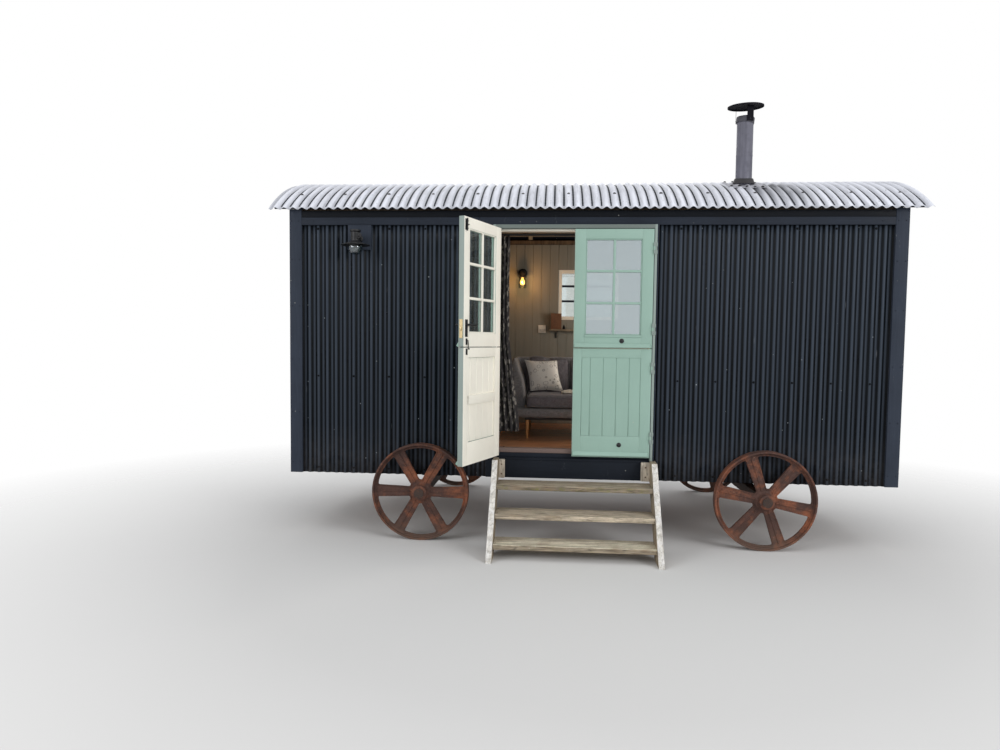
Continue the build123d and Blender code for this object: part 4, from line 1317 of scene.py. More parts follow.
def sill():
    low, high = boxes["door_sill"]
    step = Shape()
    tread = stock("plain", "worn sill", 112, 94, 88, 0.6, 0.0, 90.0, 0.0008)
    nosing = high.z - 0.036
    step.block((low.x, low.y, nosing), high, tread, 0.006, 3, 0.16, 0.0006, 9)
    end = (high.x, high.y, nosing - 0.0003)
    step.block((low.x, low.y + 0.004, low.z), end, stock("board_paint", "X", 0.5), 0.003, 2, 0.16, 0.0005, 9)
    start, end = (-0.694, high.y - 0.034, high.z - 0.002), (-0.679, high.y - 0.006, high.z + 0.003)
    step.block(start, end, stock("black_iron"), 0.001)
    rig.replaces(step.piece("door_sill_board", "trim_paint"), "door_sill")


class HUT_OT_doors(Operator):
    """Two pairs of stable doors with panes, boarded panels, weather boards and hinges, in their frame"""

    bl_idname = "hut.doors"
    bl_label = "Doors"

    def execute(self, context):
        for side, name, mirror in ((-1, "left", 0.08), (1, "right", 0.44)):
            body = name + "_door"
            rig.replaces(lower(side).piece(name + "_lower_leaf", "door_paint", body), name + "_lower_door")
            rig.replaces(upper(side).piece(name + "_upper_leaf", "door_paint", body), name + "_upper_door")
            low, high = at(
                name + "_door_glass", "Z", 0
            ) - 0.002, at(name + "_door_glass", "Z", 1) + PANE_MORE + 0.002
            pane = Shape(leaf_matrix(side))
            start, end = (STILE - 0.003, 0.019, low), (LEAF_WIDTH - STILE + 0.003, 0.025, high)
            pane.block(start, end, stock("glass", mirror), 0.0005, 1)
            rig.replaces(pane.piece(name + "_leaf_glass", "window_glass", body), name + "_door_glass")
        door_frame()
        sill()
        return {"FINISHED"}


def right_leaf(iron, brass, steel):
    """Two round escutcheons outside and the keep on the edge."""
    edge = LEAF_WIDTH
    shape = Shape(leaf_matrix(1))
    plate = mm(0, -0.2, 18.6, -0.2, 19.2, 2, 16.5, 4.2, 11, 4.8, 9.5, 9.5, 10.5, 12.5, 7.5, 15.5, 0, 16.5)
    for u, z in ((0.2445, 1.684), (0.2505, 0.829)):
        shape.turned(plate, iron, (u, 0, z), "Y", 24)
        for turn in (0.6, 2.7, 4.8):
            spot = (u + 0.0145 * cos(turn), -0.0035, z + 0.0145 * sin(turn))
            shape.turned(mm(0, 0, 1.8, 0, 1.4, 1.2, 0, 1.5), steel, spot, "Y", 8)
    shape.block((edge - 0.0015, 0.01, 1.69), (edge + 0.0015, 0.034, 1.83), brass, 0.0006, 1)
    shape.block((edge - 0.008, 0.016, 1.735), (edge + 0.0017, 0.028, 1.775), iron, 0.0006, 1)
    shape.piece("right_leaf_ironwork", "black_iron", "right_door")


def handle(iron):
    """A lever on each face of the left leaf, on its plate."""
    inner, u, z = LEAF_DEPTH, 0.598, 1.79
    shape = Shape(leaf_matrix(-1))
    shape.block((0.574, inner - 0.0003, 1.7), (0.614, inner + 0.003, 1.83), iron, 0.0012)
    rose = mm(0, 0, 9.5, 0, 9, -22, 7.5, -30, 0, -31)
    shape.turned(rose, iron, (u, inner + 0.0025, z), "Y", 16)
    lever = [
        (u, 0.03, z), (0.58, 0.037, 1.7905), (0.55, 0.038, 1.789), (0.515, 0.037, 1.786),
        (0.492, 0.034, 1.785)
    ]
    lever = [(a, inner + out, b) for a, out, b in lever]
    shape.rod(lever, [0.0085, 0.0098, 0.009, 0.0085, 0.0066], iron, 12)
    shape.block((0.578, -0.003, 1.72), (0.61, 0.0003, 1.83), iron, 0.0012)
    lever = [(u, 0.0, z), (u, -0.038, z), (0.585, -0.044, z), (0.52, -0.042, 1.786)]
    shape.rod(lever, [0.0085, 0.0085, 0.009, 0.0066], iron, 12)
    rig.replaces(shape.piece("left_leaf_handle", "black_iron", "left_door"), "door_handle")


def left_leaf(iron, brass, steel):
    """Top bolt, cabin hook, keep, latch and staple."""
    edge, inner, u = LEAF_WIDTH, LEAF_DEPTH, 0.604
    shape = Shape(leaf_matrix(-1))
    shape.block((0.585, inner - 0.0003, 2.49), (0.622, inner + 0.003, 2.572), iron, 0.001, 1)
    shape.rod([(u, inner + 0.009, 2.485), (u, inner + 0.009, 2.577)], 0.0058, iron, 12)
    loop = [(0.595, 0.002), (0.596, 0.013), (u, 0.0165), (0.612, 0.013), (0.613, 0.002)]
    for z in (2.502, 2.556):
        shape.rod([(a, inner + out, z) for a, out in loop], 0.0028, iron, 8)
    shape.rod([(u, inner + 0.009, 2.528), (u, inner + 0.024, 2.528)], 0.0042, iron, 10)
    shape.block((0.575, inner - 0.0003, 1.64), (0.603, inner + 0.0025, 1.688), iron, 0.001, 1)
    hook = [(0.589, 0.003, 1.676), (0.589, 0.014, 1.672), (0.587, 0.015, 1.65), (0.583, 0.013, 1.628)]
    hook += [(0.577, 0.01, 1.612), (0.57, 0.012, 1.606), (0.566, 0.013, 1.614)]
    shape.rod([(a, inner + out, b) for a, out, b in hook], 0.0036, iron, 8)
    shape.block((0.573, inner - 0.0003, 1.565), (0.6, inner + 0.0025, 1.612), iron, 0.001, 1)
    shape.block((edge - 0.0015, 0.008, 1.69), (edge + 0.0016, 0.036, 1.83), brass, 0.0006, 1)
    shape.block((edge - 0.006, 0.015, 1.745), (edge + 0.007, 0.027, 1.772), brass)
    shape.block((0.596, 0.004, 1.6207), (edge + 0.011, 0.024, 1.6253), steel, 0.0006, 1)
    staple = mm(610, 2, 611, -12, 621, -16, 630, -12, 631, 2)
    shape.rod([(a, b, 1.735) for a, b in staple], 0.0026, iron, 8)
    shape.piece("left_leaf_ironwork", "black_iron", "left_door")


class HUT_OT_ironmongery(Operator):
    """Handle, keep plates, knobs, bolt and staple of the doors"""

    bl_idname = "hut.ironmongery"
    bl_label = "Door ironmongery"

    def execute(self, context):
        brass = stock("plain", "dull brass", 176, 158, 120, 0.36, 0.7)
        steel = stock("plain", "dull steel", 150, 148, 144, 0.34, 0.75)
        right_leaf(stock("black_iron"), brass, steel)
        handle(stock("black_iron"))
        left_leaf(stock("black_iron"), brass, steel)
        return {"FINISHED"}


def worn(name, finish, along, seed, bevel=0.005, stir=0.0011):
    """A timber of the steps with worn edges, in place of its node."""
    form = bmesh.new()
    form.from_mesh(nodes[name].data)
    bmesh.ops.remove_doubles(form, verts=form.verts, dist=0.0002)
    bmesh.ops.dissolve_limit(form, angle_limit=radians(2), verts=form.verts, edges=form.edges)
    chamfer(form, form.edges, bevel, 3)
    low, high = boxes[name]
    sliced(form, low, high, along, int((high[along] - low[along]) / 0.06) + 1)
    for vert in form.verts:
        moved = vert.co + noise.noise_vector(vert.co * 7.0 + Vector((seed, 0, 0))) * stir
        moved += noise.noise_vector(vert.co * 33.0) * stir * 0.5
        vert.co = Vector([min(max(moved[i], low[i]), high[i]) for i in range(3)])
    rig.replaces(Shape().add(form, finish).piece(name + "_worn", "step_timber"), name)


class HUT_OT_steps(Operator):
    """Three worn treads between two strings, hung on cleats under the doorway"""

    bl_idname = "hut.steps"
    bl_label = "Steps"

    def execute(self, context):
        treads = ("tread_bottom", "tread_middle", "tread_top")
        # Painted light and shade: the strings are pale on their front faces and grey on the rest.
        grey, pale = stock("weathered", "Z", 0.95, 0.2), stock("weathered", "Z", 1.6, 0.1, 1.0)
        for seed, side in enumerate(("left", "right")):
            worn(
                side + "_stringer", lambda face: pale if face.normal.y < -0.5 else grey, 2, seed + 2.0, 0.004
            )
        for seed, name in enumerate(treads):
            # Painted light and shade: each tread's top and front take levels of their own.
            top = stock("weathered", "X", (1.9, 1.3, 0.95)[seed], 0.3, (0.2, 0.1, 0.05)[seed])
            face = stock(
                "weathered", "X", (0.88, 1.5, 0.74)[seed], (0.3, 0.35, 0.8)[seed], (0.0, 0.1, 0.0)[seed]
            )
            worn(name, lambda part: top if part.normal.z > 0.5 else face, 0, seed + 11.0, 0.006)
        cleats = Shape()
        pale = stock("weathered", "Z", 1.2, 0.0, 0.3)
        left, right = at("left_stringer", "X", 1), at("right_stringer", "X", 0)
        back = at("left_stringer", "Y", 1)
        for x_low, x_high in ((left + 0.0005, left + 0.05), (right - 0.07, right - 0.0005)):
            ends = (x_low, back - 0.05, 0.535), (x_high, back - 0.001, 0.688)
            cleats.block(*ends, pale, 0.004, 2, 0.06, 0.0009, x_low)
        cleats.piece("step_cleats", "step_timber")
        spots = []
        for name in treads:
            low, high = boxes[name]
            for x in (low.x + 0.018, high.x - 0.018):
                for y in (low.y + 0.05, high.y - 0.05):
                    spots.append(((x, y, high.z - 0.0016), (0, 0, 1)))
        for x, out in ((at("left_stringer", "X", 0), -1), (at("right_stringer", "X", 1), 1)):
            for n, name in enumerate(treads):
                for reach in (0.07, 0.16):
                    spots.append(((x - out * 0.0012, at(name, "Y", 0) + reach, 0.1 + n * 0.2), (out, 0, 0)))
        for x in (left + 0.025, right - 0.035):
            for z in (0.57, 0.65):
                spots.append(((x, back - 0.0508, z), (0, -1, 0)))
        fasteners(
            "step_screws", spots, stock("plain", "rusted screw", 96, 70, 54, 0.7, 0.2), 0.55, "step_timber"
        )
        return {"FINISHED"}


def rounded(points, radii, steps=6):
    """A closed outline in the plane with each corner rounded."""
    done = []
    for n, radius in enumerate(radii):
        point = Vector(points[n])
        if radius <= 0:
            done.append(tuple(point))
            continue
        before = Vector(points[n - 1]) - point
        after = Vector(points[(n + 1) % len(points)]) - point
        reach = radius / tan(before.angle(after) / 2)
        reach = min(reach, before.length * 0.48, after.length * 0.48)
        start, end = point + before.normalized() * reach, point + after.normalized() * reach
        for k in range(steps + 1):
            t = k / steps
            done.append(tuple(start * (1 - t) ** 2 + point * 2 * t * (1 - t) + end * t**2))
    return done


def plate_form(outlines, thickness, bevel):
    """A flat plate with holes, in the XY plane about z = 0: the first outline is its edge."""
    curve = bpy.data.curves.new("plate", "CURVE")
    curve.dimensions = "2D"
    curve.fill_mode = "BOTH"
    curve.extrude = thickness / 2 - bevel
    curve.bevel_depth = bevel
    curve.bevel_resolution = 2
    curve.offset = -bevel
    for outline in outlines:
        line = curve.splines.new("POLY")
        line.points.add(len(outline) - 1)
        for point, (x, y) in zip(line.points, outline):
            point.co = (x, y, 0, 1)
        line.use_cyclic_u = True
    made = bpy.data.objects.new("plate", curve)
    show(made)
    form = bmesh.new()
    form.from_mesh(baked(made))
    bmesh.ops.remove_doubles(form, verts=form.verts, dist=0.00001)
    bpy.data.objects.remove(made)
    return form


def openings(turn):
    """The outlines of the six openings between the spokes."""
    hub, rim = 0.102, 0.366

    def off(reach):
        return asin((0.039 + 0.013 * (reach - 0.062) / 0.335) / reach)

    found = []
    for n in range(6):
        first, second = turn + n * pi / 3, turn + (n + 1) * pi / 3
        start, stop = first + off(rim), second - off(rim)
        places = [(rim, start + (stop - start) * k / 8) for k in range(9)]
        places = [(hub, first + off(hub)), *places, (hub, second - off(hub))]
        points = [(reach * cos(t), reach * sin(t)) for reach, t in places]
        found.append(rounded(points, [0.014, 0.035, *[0] * 7, 0.035, 0.014]))
    return found


def wheel(name, turn, out):
    rust = stock("rust")
    radius, half, ends = 0.405, 0.0425, 0.075
    shape = Shape(Matrix.Translation((boxes[name][0] + boxes[name][1]) / 2))
    holes = openings(turn)
    plate = plate_form([[(0.393 * a, 0.393 * b) for a, b in circle(96)], *holes], 0.022, 0.004)
    plate.transform(spin(90, "X"))
    shape.add(plate, rust)
    for hole in holes:
        middle = sum((Vector(point) for point in hole), Vector((0, 0))) / len(hole)
        bead = []
        for point in hole:
            away = (Vector(point) - middle).normalized() * 0.01
            bead.append((point[0] + away.x, out * 0.0105, point[1] + away.y))
        shape.rod(bead, 0.0052, rust, 8, True)
    tyre = [(0.4035, -half), (radius, -half + 0.003), (0.4042, -0.01), (0.4045, 0.012)]
    tyre += [(radius, half - 0.003), (0.4035, half)]
    flange = [
        (0.392, half), (0.3895, half - 0.004), (0.388, 0.018), (0.38, 0.0115), (0.3675, 0.0112),
        (0.3665, 0.008)
    ]
    tyre += flange + [(r, -h) for r, h in reversed(flange)]
    shape.turned(tyre, rust, (0, 0, 0), "Y", 96, True)
    hub = [(0.0255, -ends), (0.054, -ends), (0.0595, -ends + 0.004), (0.0605, -0.052)]
    hub += mm(57.5, -46, 62, -30, 75, -14, 88, -10.5)
    shape.turned(hub + [(r, -h) for r, h in reversed(hub)], rust, (0, 0, 0), "Y", 48, True)
    for n in range(6):
        angle = turn + n * pi / 3
        along = Vector((cos(angle), 0, sin(angle)))
        points = [along * reach + Vector((0, out * 0.0105, 0)) for reach in (0.086, 0.16, 0.26, 0.366)]
        shape.rod(points, [0.0085, 0.0075, 0.0065, 0.008], rust, 8)
    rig.replaces(shape.piece(name + "_cast", "wheel_iron", name), name)


def axle(name):
    """A turned ring at each end of the axle, within its length."""
    dress(name, stock("underframe"))
    low, high = boxes[name]
    shape = Shape()
    ring = mm(25.2, 3.6, 33.5, 3.6, 34.5, 4.6, 34.5, 7.6, 33.5, 8.6, 25.2, 8.6)
    for y, out in ((low.y, -1), (high.y, 1)):
        profile = [(r, out * h) for r, h in ring]
        shape.turned(profile, stock("rust"), ((low.x + high.x) / 2, y, 0.405), "Y", 24, True)
    shape.piece(name + "_rings", "chassis_steel", smooth=30.0)


class HUT_OT_wheels(Operator):
    """Four cast wheels with six flared spokes, beaded openings and flanged rims"""

    bl_idname = "hut.wheels"
    bl_label = "Wheels"

    def execute(self, context):
        for end, out in (("front", -1), ("rear", 1)):
            wheel("wheel_" + end + "_left", 0.0, out)
            wheel("wheel_" + end + "_right", radians(-11), out)
        for side in ("left", "right"):
            axle(side + "_axle")
        return {"FINISHED"}


class HUT_OT_underframe(Operator):
    """Steel chassis, joists and their bolts"""

    bl_idname = "hut.underframe"
    bl_label = "Underframe"

    def execute(self, context):
        dress("chassis_frame", stock("underframe"))
        dress("floor_frame", stock("rough_timber", "X"))
        for name in (
            "front_wall_left", "front_wall_right", "front_wall_head", "rear_wall", "end_wall_left",
            "end_wall_right"
        ):
            dress(name, stock("rough_timber", "Z"))
        low, high = boxes["chassis_frame"]
        spots = []
        for y, out in ((low.y, -1), (high.y, 1)):
            spots += [((low.x + 0.2 + n * 0.42, y, 0.56), (0, out, 0)) for n in range(11)]
        fasteners("chassis_bolts", spots, stock("underframe"), 1.5, "chassis_steel")
        return {"FINISHED"}


def stretched_over(form, rows):
    """Faces between rows of points."""
    for first, second in zip(rows, rows[1:]):
        for i in range(len(first) - 1):
            form.faces.new((first[i], first[i + 1], second[i + 1], second[i]))


def flashing(x, y):
    """A square of lead dressed over the waves, and its rivets."""
    pitch, depth = settings().wave_pitch, settings().wave_depth
    start = at("roof_sheet", "X", 0) + pitch / 2
    slope = asin((y - middle_y) / ROOF_RADIUS)
    across, down, reach = 40, 24, 0.155

    def laid(u, arc, lift):
        """A place over the waves, and the way out of the roof there."""
        angle = slope + arc / ROOF_RADIUS
        wave = sin((u - start) / pitch * 2 * pi) * depth * 0.5
        facing = Vector((0, sin(angle), cos(angle)))
        return Vector((u, middle_y, roof_axis)) + facing * (
            ROOF_RADIUS + max(wave, -depth * 0.1) + lift
        ), facing

    form = bmesh.new()
    rows = []
    for j in range(down + 1):
        rows.append([])
        for i in range(across + 1):
            lift = 0.0022 + 0.004 * min(1.0, min(i, across - i, j, down - j) / 6)
            u, arc = x - reach + 2 * reach * i / across, -reach + 2 * reach * j / down
            rows[j].append(form.verts.new(laid(u, arc, lift)[0]))
    stretched_over(form, rows)
    shape = Shape().add(form, stock("plain", "painted flashing", 168, 169, 178, 0.55, 0.1, 24.0, 0.001))
    lead = shape.piece("flue_flashing", "roof_metal", smooth=180.0)
    if lead.data.polygons[0].normal.z < 0:
        lead.data.flip_normals()
    thicken(lead, 0.0024, -1.0)
    spots = [laid(x + du, dv, 0.006) for du in (-0.13, -0.065, 0.0, 0.065, 0.13) for dv in (-0.135, 0.135)]
    fasteners("flashing_rivets", spots, stock("black_iron"), 1.3, "roof_metal")


class HUT_OT_flue(Operator):
    """Stove pipe with its slanted collar, rain cap and storm collar"""

    bl_idname = "hut.flue"
    bl_label = "Flue"

    def execute(self, context):
        metal, dark = stock("flue_metal"), stock("flue_metal", 0.42)
        low, high = boxes["flue_pipe"]
        x, y = (low.x + high.x) / 2, (low.y + high.y) / 2
        foot, top = low.z + 0.002, high.z
        pipe = [(0.064, foot), (0.068, foot), (0.068, 3.28), (0.0692, 3.283), (0.0692, 3.296), (0.068, 3.299)]
        pipe += [(0.068, top - 0.004), (0.064, top - 0.004)]
        collar = Shape(Matrix.Translation((x, y, top - 0.034)) @ spin(6, "Y"))
        ring = mm(68.4, -24, 74.5, -24, 75.2, -22, 75.2, 20, 74.2, 23.5, 68.4, 23.5)
        collar.turned(ring, dark, steps=48, closed=True)
        collar.piece("flue_collar", "flue_metal")
        drawn = Shape().turned(pipe, metal, (x, y, 0), steps=48, closed=True)
        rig.replaces(drawn.piece("flue_pipe_drawn", "flue_metal"), "flue_pipe")
        soot = stock("plain", "sooty iron", 20, 19, 26, 0.8, 0.0, 40.0, 0.0006, 0.12)
        tilt = Matrix.Translation((x, y, boxes["flue_cap"][1].z - 0.03))
        tilt = tilt @ spin(-1.5, "Y") @ spin(5.5, "X")
        edge = 0.15
        brim = [(0, 0.0215), (0.03, 0.0205), (0.09, 0.0145), (edge - 0.006, 0.0048), (edge, 0.002)]
        brim += [(edge, -0.0098), (edge - 0.003, -0.0098), (edge - 0.004, 0.0), (0.09, 0.0098), (0, 0.0166)]
        hood = Shape(tilt).turned(brim, soot, steps=64)
        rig.replaces(hood.piece("flue_rain_cap", "flue_metal"), "flue_cap")
        for turn, wide in ((-73, 0.03), (47, 0.014), (167, 0.014)):
            strap = Shape(Matrix.Translation((x, y, 0)) @ spin(turn, "Z"))
            strap.block((0.0764, -wide, top - 0.055), (0.0794, wide, top + 0.078), soot, 0.0008, 1)
            rivet = mm(0, 0, 4, 0, 3, 2.2, 0, 2.6)
            strap.turned(rivet, dark, (0.0792, 0, top - 0.035), "X", 8)
            strap.piece("flue_strap_" + str(turn % 360), "flue_metal")
        slope = asin((middle_y - y) / ROOF_RADIUS)
        seat = roof_axis + sqrt(ROOF_RADIUS**2 - (middle_y - y) ** 2)
        skirt = Shape(Matrix.Translation((x, y, seat)) @ Matrix.Rotation(slope * 0.6, 4, "X"))
        ring = mm(71.5, 50, 74.5, 52, 78, 48, 89, 18, 92, 12.5, 90.5, 11.5, 73.5, 40)
        skirt.turned(ring, stock("plain", "tarred collar", 28, 26, 30, 0.6), steps=48, closed=True)
        skirt.piece("flue_storm_collar", "flue_metal")
        flashing(x, y)
        return {"FINISHED"}


class HUT_OT_lantern(Operator):
    """Outside lantern with a wide brim and a glass bowl on its arm"""

    bl_idname = "hut.lantern"
    bl_label = "Lantern"

    def execute(self, context):
        iron = stock("black_iron")
        low, high = boxes["wall_lantern"]
        place = Matrix.Translation(((low.x + high.x) / 2, low.y + 0.118, 2.447))
        shape = Shape(place)
        hood = mm(
            0, 123.8, 40, 121, 43.5, 118, 43.5, 108, 40, 104.5, 35.5, 100, 34.5, 60, 36, 34, 45, 24, 62,
            15.5, 90, 6, 116.5, -1.5, 118, -3.5, 116.5, -5.8, 90, 0.5, 64, 6.5, 58, 6.8
        )
        shape.turned([*hood, (0.055, 0.004), (0.02, 0.012), (0.0, 0.012)], iron, steps=56)
        rim = mm(47.5, 6, 61.5, 6, 62.5, 2, 62.5, -6, 60.5, -8, 47.5, -8)
        shape.turned(rim, iron, steps=48, closed=True)
        shape.block((-0.014, 0.03, 0.052), (0.014, 0.118, 0.078), iron, 0.004)
        rose = mm(0, 0, 30, 0, 31, 3, 27, 7, 16, 8.5, 0, 9)
        shape.turned(rose, iron, (0, 0.1175, 0.065), "Y", 32)
        knob = mm(0, 0, 22.5, 0, 23.5, 3, 21, 6, 16.5, 6.5, 12.5, 5, 11.5, 8.5, 6, 12.5, 0, 13.5)
        shape.turned(knob, iron, (0.038, -0.0335, 0.07), "Y", 28)
        for a, b in circle(12):
            shape.rod([(0.036 * a, 0.036 * b, 0.098), (0.0365 * a, 0.0365 * b, 0.045)], 0.0022, iron, 6)
        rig.replaces(shape.piece("wall_lantern_body", "black_iron"), "wall_lantern")
        bowl = mm(
            57, -4, 58.5, -20, 57, -42, 45.5, -69, 26, -78.5, 0, -81, 0, -78, 25, -75.5, 43.2, -66.5, 54,
            -41, 55.5, -20, 54, -4
        )
        Shape(place).turned(bowl, stock("jar_glass"), steps=48).piece("lantern_glass", "window_glass")
        bulb = mm(0, 10, 13, 10, 13.5, -12, 22, -26, 25, -40, 18, -56, 0, -61)
        dusty = stock("plain", "dusty bulb", 104, 102, 98, 0.3)
        Shape(place).turned(bulb, dusty, steps=28).piece("lantern_bulb", "window_glass")
        return {"FINISHED"}


def gables(finish, bottom, front, rear):
    count = round((rear - front) / 0.094)
    step = (rear - front) / count
    for node, side in (("end_wall_left", 1), ("end_wall_right", -1)):
        face = at(node, "X", 1 if side > 0 else 0)
        x_low, x_high = sorted((face + side * 0.0002, face + side * 0.0062))
        shape = Shape()
        for n in range(count):
            y_low, y_high = front + n * step, front + (n + 1) * step - 0.0006
            off = max(abs(y_low - middle_y), abs(y_high - middle_y))
            top = roof_axis + sqrt(BOARD_INNER**2 - off**2) - 0.006
            shape.block((x_low, y_low, bottom), (x_high, y_high, top), finish, 0.002, 1)
        shape.piece(node + "_lining", "wall_lining")


def ceiling(left, right, inner):
    # Painted shade: the ceiling's boards and ribs take the lining paint at 0.8.
    dark = stock("lining", 0.8, "X")
    radius = BOARD_INNER - 0.001
    limit = asin((inner - 0.004 - middle_y) / radius)
    count = round(2 * limit * radius / 0.105)
    half = limit * radius / count - 0.0004
    shape = Shape()
    for n in range(count):
        angle = -limit + (n + 0.5) * 2 * limit / count
        shape.matrix = Matrix.Translation((0, middle_y, roof_axis)) @ Matrix.Rotation(-angle, 4, "X")
        shape.block((left, -half, radius - 0.0075), (right, half, radius - 0.0012), dark, 0.002, 1)
    shape.piece("ceiling_boards", "wall_lining")
    ribs = Shape()
    steps = 28
    section = mm(-22.5, 9, 22.5, 9, 22.5, 66, 19.5, 69, -19.5, 69, -22.5, 66)
    for x in (-1.65, -0.55, 0.55, 1.65):
        rings = []
        for k in range(steps + 1):
            angle = -limit + 0.012 + k * (2 * limit - 0.024) / steps
            facing = Vector((0, sin(angle), cos(angle)))
            rings.append(
                [Vector((x + dx, middle_y, roof_axis)) + facing * (radius - deep) for dx, deep in section]
            )
        ribs.add(lofted(rings, False, True), dark)
    ribs.piece("ceiling_ribs", "roof_timber")


class HUT_OT_room(Operator):
    """Boarded lining, bent ceiling with its ribs, and the planked floor"""

    bl_idname = "hut.room"
    bl_label = "Room"

    def execute(self, context):
        wall = stock("lining", 1.0, "Z")
        bottom, top, front_top = at("floor_boards", "Z", 1), 2.742, 2.73
        inner, front = at("rear_wall", "Y", 0), at("front_wall_left", "Y", 1)
        low, high = boxes["rear_window_frame"]
        left, right = at("end_wall_left", "X", 1), at("end_wall_right", "X", 0)
        thick, off, gap = 0.006, 0.0002, 0.001
        spans = [
            ("left", left, low.x - gap, bottom, top), ("right", high.x + gap, right, bottom, top),
            ("under", low.x, high.x, bottom, low.z - gap), ("over", low.x, high.x, high.z + gap, top)
        ]
        for label, x_low, x_high, z_low, z_high in spans:
            ends = (x_low, inner - thick - off, z_low), (x_high, inner - off, z_high)
            boarding("rear_lining_" + label, "wall_lining", wall, *ends)
        for label, x_low, x_high in (("left", 0.07, 0.0), ("right", 0.0, -0.07)):
            x_low += at("front_wall_" + label, "X", 0)
            x_high += at("front_wall_" + label, "X", 1)
            ends = (x_low, front + off, bottom), (x_high, front + off + thick, front_top)
            boarding("front_lining_" + label, "wall_lining", wall, *ends)
        gables(wall, bottom, front + 0.008, inner - 0.008)
        ceiling(left + gap, right - gap, inner)
        planks = boarding(
            "floor_planks", "floor_boards", stock("floor"), *boxes["floor_boards"], 1, 0.122, 0.001, 0.0015,
            0.0
        )
        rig.replaces(planks, "floor_boards")
        return {"FINISHED"}


def shelf(low, high):
    shape = Shape()
    back = high.y - 0.0065
    shape.block(low, (high.x, back, high.z), stock("weathered", "X", 0.8, 0.0), 0.003, 2, 0.2, 0.0004)
    for x in (low.x + 0.08, high.x - 0.1):
        ends = (x, high.y - 0.03, low.z - 0.07), (x + 0.02, back, low.z - 0.001)
        shape.block(*ends, stock("lining", 0.6, "Z"), 0.003)
    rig.replaces(shape.piece("rear_shelf_board", "shelf_timber"), "rear_shelf")
    lean = spin(9, "X")
    things = Shape(Matrix.Translation((low.x + 0.075, high.y - 0.06, high.z)) @ lean)
    brown = stock("plain", "brown cover", 120, 84, 62, 0.6)
    page = stock("plain", "page edges", 196, 184, 158, 0.8, 0.0, 200.0)
    things.block((-0.058, -0.008, 0.0005), (0.058, -0.005, 0.172), brown, 0.001)
    things.block((-0.055, -0.005, 0.003), (0.056, 0.011, 0.169), page, 0.0006, 1)
    things.block((-0.058, 0.011, 0.0005), (0.058, 0.014, 0.172), brown, 0.001)
    small = mm(0, 0, 14, 0, 16, 10, 12, 30, 6, 36, 4, 50, 0, 51)
    things.turned(small, stock("black_iron"), (0.085, 0.0, 0.0005), steps=20)
    things.piece("shelf_things", "shelf_timber")
    socket = Shape()
    white = stock("plain", "white fitting", 214, 210, 200, 0.35)
    face = high.y - 0.0064
    socket.block((-0.455, face - 0.009, 1.77), (-0.369, face, 1.856), white, 0.003, 3)
    for x in (-0.434, -0.39):
        socket.block((x - 0.008, face - 0.012, 1.803), (x + 0.008, face - 0.0088, 1.823), white, 0.0016)
    socket.piece("wall_socket", "shelf_timber")


class HUT_OT_rear_window(Operator):
    """Fixed window at the back with its two bars, and the shelf under it"""

    bl_idname = "hut.rear_window"
    bl_label = "Rear window"

    def execute(self, context):
        low, high = boxes["rear_window_frame"]
        cream, dark = stock("door_paint", "cream", "Z"), stock("board_paint", "X", 0.7)
        shape = Shape()

        def pick(face):
            return dark if face.normal.y > 0.5 or face.calc_center_median().y > 1.3 else cream

        left, right = low.x + 0.038, high.x - 0.038
        for x_low, x_high in ((low.x, left), (right, high.x)):
            shape.block((x_low, low.y, low.z), (x_high, high.y, high.z), pick)
        for z_low, z_high in ((low.z, low.z + 0.038), (high.z - 0.038, high.z)):
            shape.block((left, low.y + 0.0004, z_low), (right, high.y - 0.0004, z_high), pick)
        inner, outer = (corner.y for corner in boxes["rear_window_glass"])
        for z in (2.125, 2.291):
            for y_low, y_high in ((inner - 0.016, inner - 0.0003), (outer + 0.0003, outer + 0.016)):
                shape.block((left, y_low, z - 0.011), (right, y_high, z + 0.011), dark, 0.003)
        start, end = (low.x - 0.03, high.y + 0.0006, low.z - 0.022), (
            high.x + 0.03, high.y + 0.012, low.z - 0.0005
        )
        shape.block(start, end, dark, 0.003)
        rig.replaces(shape.piece("rear_window_joinery", "trim_paint"), "rear_window_frame")
        dress("rear_window_glass", stock("glass", 0.12))
        shelf(*boxes["rear_shelf"])
        return {"FINISHED"}


def light(name, kind, energy, place, **more):
    data = bpy.data.lights.new(name, kind)
    data.energy = energy * settings().light_level
    for key, value in more.items():
        setattr(data, key, value)
    made = bpy.data.objects.new(name, data)
    made.location = place
    show(made)
    return made


